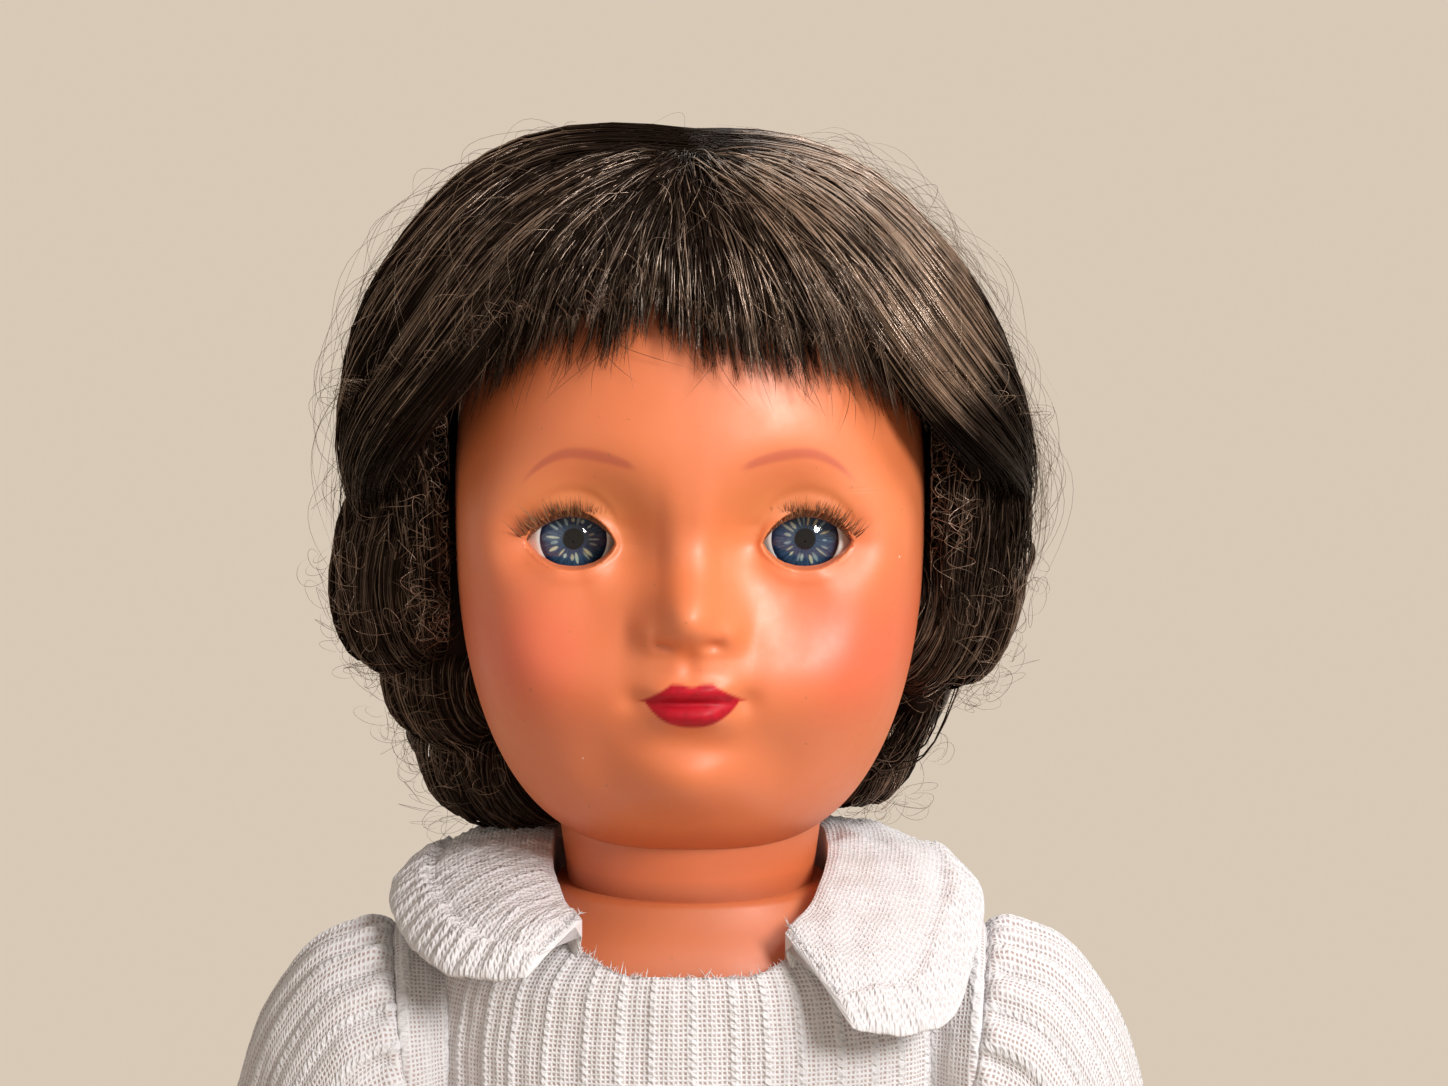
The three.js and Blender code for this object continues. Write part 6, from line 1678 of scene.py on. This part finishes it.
class DOLL_OT_wig(bpy.types.Operator):
    """Comb and roll the wig"""

    bl_idname = "doll.wig"
    bl_label = "Wig"
    bl_options = {"REGISTER", "UNDO"}

    def execute(self, context):
        build_wig(context.scene.doll)
        return {"FINISHED"}


class DOLL_OT_dress(bpy.types.Operator):
    """Sew the ribbed cotton dress"""

    bl_idname = "doll.dress"
    bl_label = "Dress"
    bl_options = {"REGISTER", "UNDO"}

    def execute(self, context):
        cotton = cotton_material(context.scene.doll)
        build_bodice(cotton)
        for name, side in SIDES_OF_DOLL:
            build_collar(name, cotton)
            build_sleeve(name, side, cotton)
            build_skirt(name, side, cotton)
        build_buttons(plain_material("Milky Button", (0.80, 0.77, 0.70), 0.3, 300, 0.1), cotton)
        return {"FINISHED"}


class DOLL_OT_stringing(bpy.types.Operator):
    """Finish the inner parts: wires, cords, weight, bearings and pate"""

    bl_idname = "doll.stringing"
    bl_label = "Stringing"
    bl_options = {"REGISTER", "UNDO"}

    def execute(self, context):
        wire = plain_material("Drawn Wire", (0.42, 0.41, 0.40), 0.35, 700, 0.3, 1.0)
        finishes = {
            "eye_axle": wire, "neck_hook": wire,
            "eye_weight": plain_material("Grey Weight", (0.16, 0.165, 0.175), 0.6, 260, 0.35, 0.8),
            "neck_button": plain_material("Turned Wood", (0.47, 0.28, 0.12), 0.65, 180, 0.4),
            "crown_pate": plain_material("Pressed Card", (0.56, 0.44, 0.26), 0.85, 240, 0.2),
        }
        plaster = plain_material("Set Plaster", (0.62, 0.54, 0.38), 0.85, 320, 0.15)
        cord = plain_material("Covered Elastic", (0.66, 0.61, 0.52), 0.8, 1100, 0.3, depth=0.15)
        for name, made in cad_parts.items():
            finish = finishes.get(name)
            if "_pin_" in name:
                finish = wire
            if name.startswith("eye_bearing"):
                finish = plaster
            if name.endswith("_elastic"):
                finish = cord
            if finish:
                made.data.materials.clear()
                made.data.materials.append(finish)
        return {"FINISHED"}


# The stage, in metres and watts: where the lights aim, and each light's name, place, size, power and colour.
LIGHT_AIM = (0, 0, 0.43)
LIGHTS = (
    ("key_light", (0.77, -1.0, 1.0), 0.42, 17.5, (1.0, 0.97, 0.95)),
    ("side_light", (0.85, -0.5, 1.5), 0.5, 7.0, (1.0, 0.97, 0.94)),
    ("fill_light", (-1.0, -0.9, 0.62), 1.0, 1.6, (1.0, 0.74, 0.55)),
    ("back_light", (0.35, 0.9, 1.25), 0.8, 5.0, (1.0, 0.96, 0.92)),
)
SENSOR_WIDTH, PICTURE_WIDTH, CAMERA_RISE, CAMERA_TARGET = 36.0, 0.2230, 9, (0.0052, 0.006, 0.4356)


def area_light(name, place_at, size, watts, colour):
    """A round light that faces the doll's head."""
    data = bpy.data.lights.new(name, "AREA")
    data.shape, data.size, data.energy, data.color = "DISK", size, watts, colour
    lamp = bpy.data.objects.new(name, data)
    lamp.location = place_at
    lamp.rotation_mode = "QUATERNION"
    lamp.rotation_quaternion = (Vector(LIGHT_AIM) - Vector(place_at)).to_track_quat("-Z", "Y")
    bpy.context.scene.collection.objects.link(lamp)


def build_floor(settings):
    """A pale disc that fades out into the backdrop."""
    rows, columns = 5, 96
    turn, radius = np.arange(columns) * TAU / columns, np.linspace(1, FLOOR_RADIUS, rows)[:, None]
    rings = np.stack([radius * np.cos(turn), radius * np.sin(turn), 0 * radius * turn], -1)
    floor = mesh_piece("floor", rings.reshape(-1, 3), grid_faces(rows, columns, wrap=True))
    finish, tree, shader = new_material("Pale Floor")
    tone = scaled(settings.backdrop, [0.8] * 3)
    cloud = span(tree, noise(tree, 1.6, 2), 0.3, 0.7)
    feed(tree, shader, {
        "Base Color": blend_colours(tree, cloud, rgba(tone), rgba(scaled(tone, [0.95] * 3))),
        "Roughness": 0.95,
    })
    away = node(tree, "ShaderNodeVectorMath", {0: place(tree)}, operation="LENGTH").outputs["Value"]
    fade = span(tree, away, 0.45 * FLOOR_RADIUS * MM, 0.97 * FLOOR_RADIUS * MM)
    clear = node(tree, "ShaderNodeBsdfTransparent")
    feed(tree, tree.nodes["Material Output"], {"Surface": blend_shaders(tree, fade, shader, clear)})
    floor.data.materials.append(finish)


def build_backdrop(settings):
    """A warm dim world, seen by the camera and in reflections as the plain backdrop."""
    world = bpy.data.worlds.new("Studio")
    world.use_nodes = True
    tree = world.node_tree
    light = feed(tree, tree.nodes["Background"], {"Color": (1.0, 0.90, 0.79, 1), "Strength": 0.36})
    seen = node(tree, "ShaderNodeBackground", {"Color": rgba(settings.backdrop)})
    rays = node(tree, "ShaderNodeLightPath").outputs
    shown = calc(tree, "MAXIMUM", rays["Is Camera Ray"], rays["Is Glossy Ray"])
    shown = calc(tree, "MAXIMUM", shown, rays["Is Transmission Ray"])
    feed(tree, tree.nodes["World Output"], {"Surface": blend_shaders(tree, shown, light, seen)})
    bpy.context.scene.world = world


def build_camera(settings):
    """A camera in front of the doll and a little above it."""
    data = bpy.data.cameras.new("camera")
    data.sensor_width, data.sensor_fit = SENSOR_WIDTH, "HORIZONTAL"
    far, rise = settings.camera_distance, math.radians(CAMERA_RISE)
    data.lens = SENSOR_WIDTH * far / PICTURE_WIDTH
    data.clip_start, data.clip_end = 0.01, 100
    camera = bpy.data.objects.new("camera", data)
    back = Vector((0, -math.cos(rise), math.sin(rise)))
    camera.location = Vector(CAMERA_TARGET) + back * far
    camera.rotation_mode = "QUATERNION"
    camera.rotation_quaternion = (-back).to_track_quat("-Z", "Y")
    bpy.context.scene.collection.objects.link(camera)
    bpy.context.scene.camera = camera


class DOLL_OT_stage(bpy.types.Operator):
    """Set the floor, backdrop, lights and camera"""

    bl_idname = "doll.stage"
    bl_label = "Stage"
    bl_options = {"REGISTER", "UNDO"}

    def execute(self, context):
        build_floor(context.scene.doll)
        build_backdrop(context.scene.doll)
        for light in LIGHTS:
            area_light(*light)
        build_camera(context.scene.doll)
        context.scene.view_settings.view_transform = "Standard"
        return {"FINISHED"}


STEPS = (DOLL_OT_stage, DOLL_OT_body, DOLL_OT_eyes, DOLL_OT_wig, DOLL_OT_dress, DOLL_OT_stringing)


class DOLL_PT_panel(bpy.types.Panel):
    """Steps and settings of the doll"""

    bl_label = "Strung Play Doll"
    bl_space_type = "VIEW_3D"
    bl_region_type = "UI"
    bl_category = "Doll"

    def draw(self, context):
        for step in STEPS:
            self.layout.operator(step.bl_idname)
        for name in DollSettings.__annotations__:
            self.layout.prop(context.scene.doll, name)


def register():
    for made in (DollSettings, *STEPS, DOLL_PT_panel):
        bpy.utils.register_class(made)
    bpy.types.Scene.doll = PointerProperty(type=DollSettings)


def unregister():
    del bpy.types.Scene.doll
    for made in reversed((DollSettings, *STEPS, DOLL_PT_panel)):
        bpy.utils.unregister_class(made)


def main():
    register()
    bpy.ops.doll.stage()
    bpy.ops.doll.body()
    bpy.ops.doll.eyes()
    bpy.ops.doll.wig()
    bpy.ops.doll.dress()
    bpy.ops.doll.stringing()


if __name__ == "__main__":
    main()
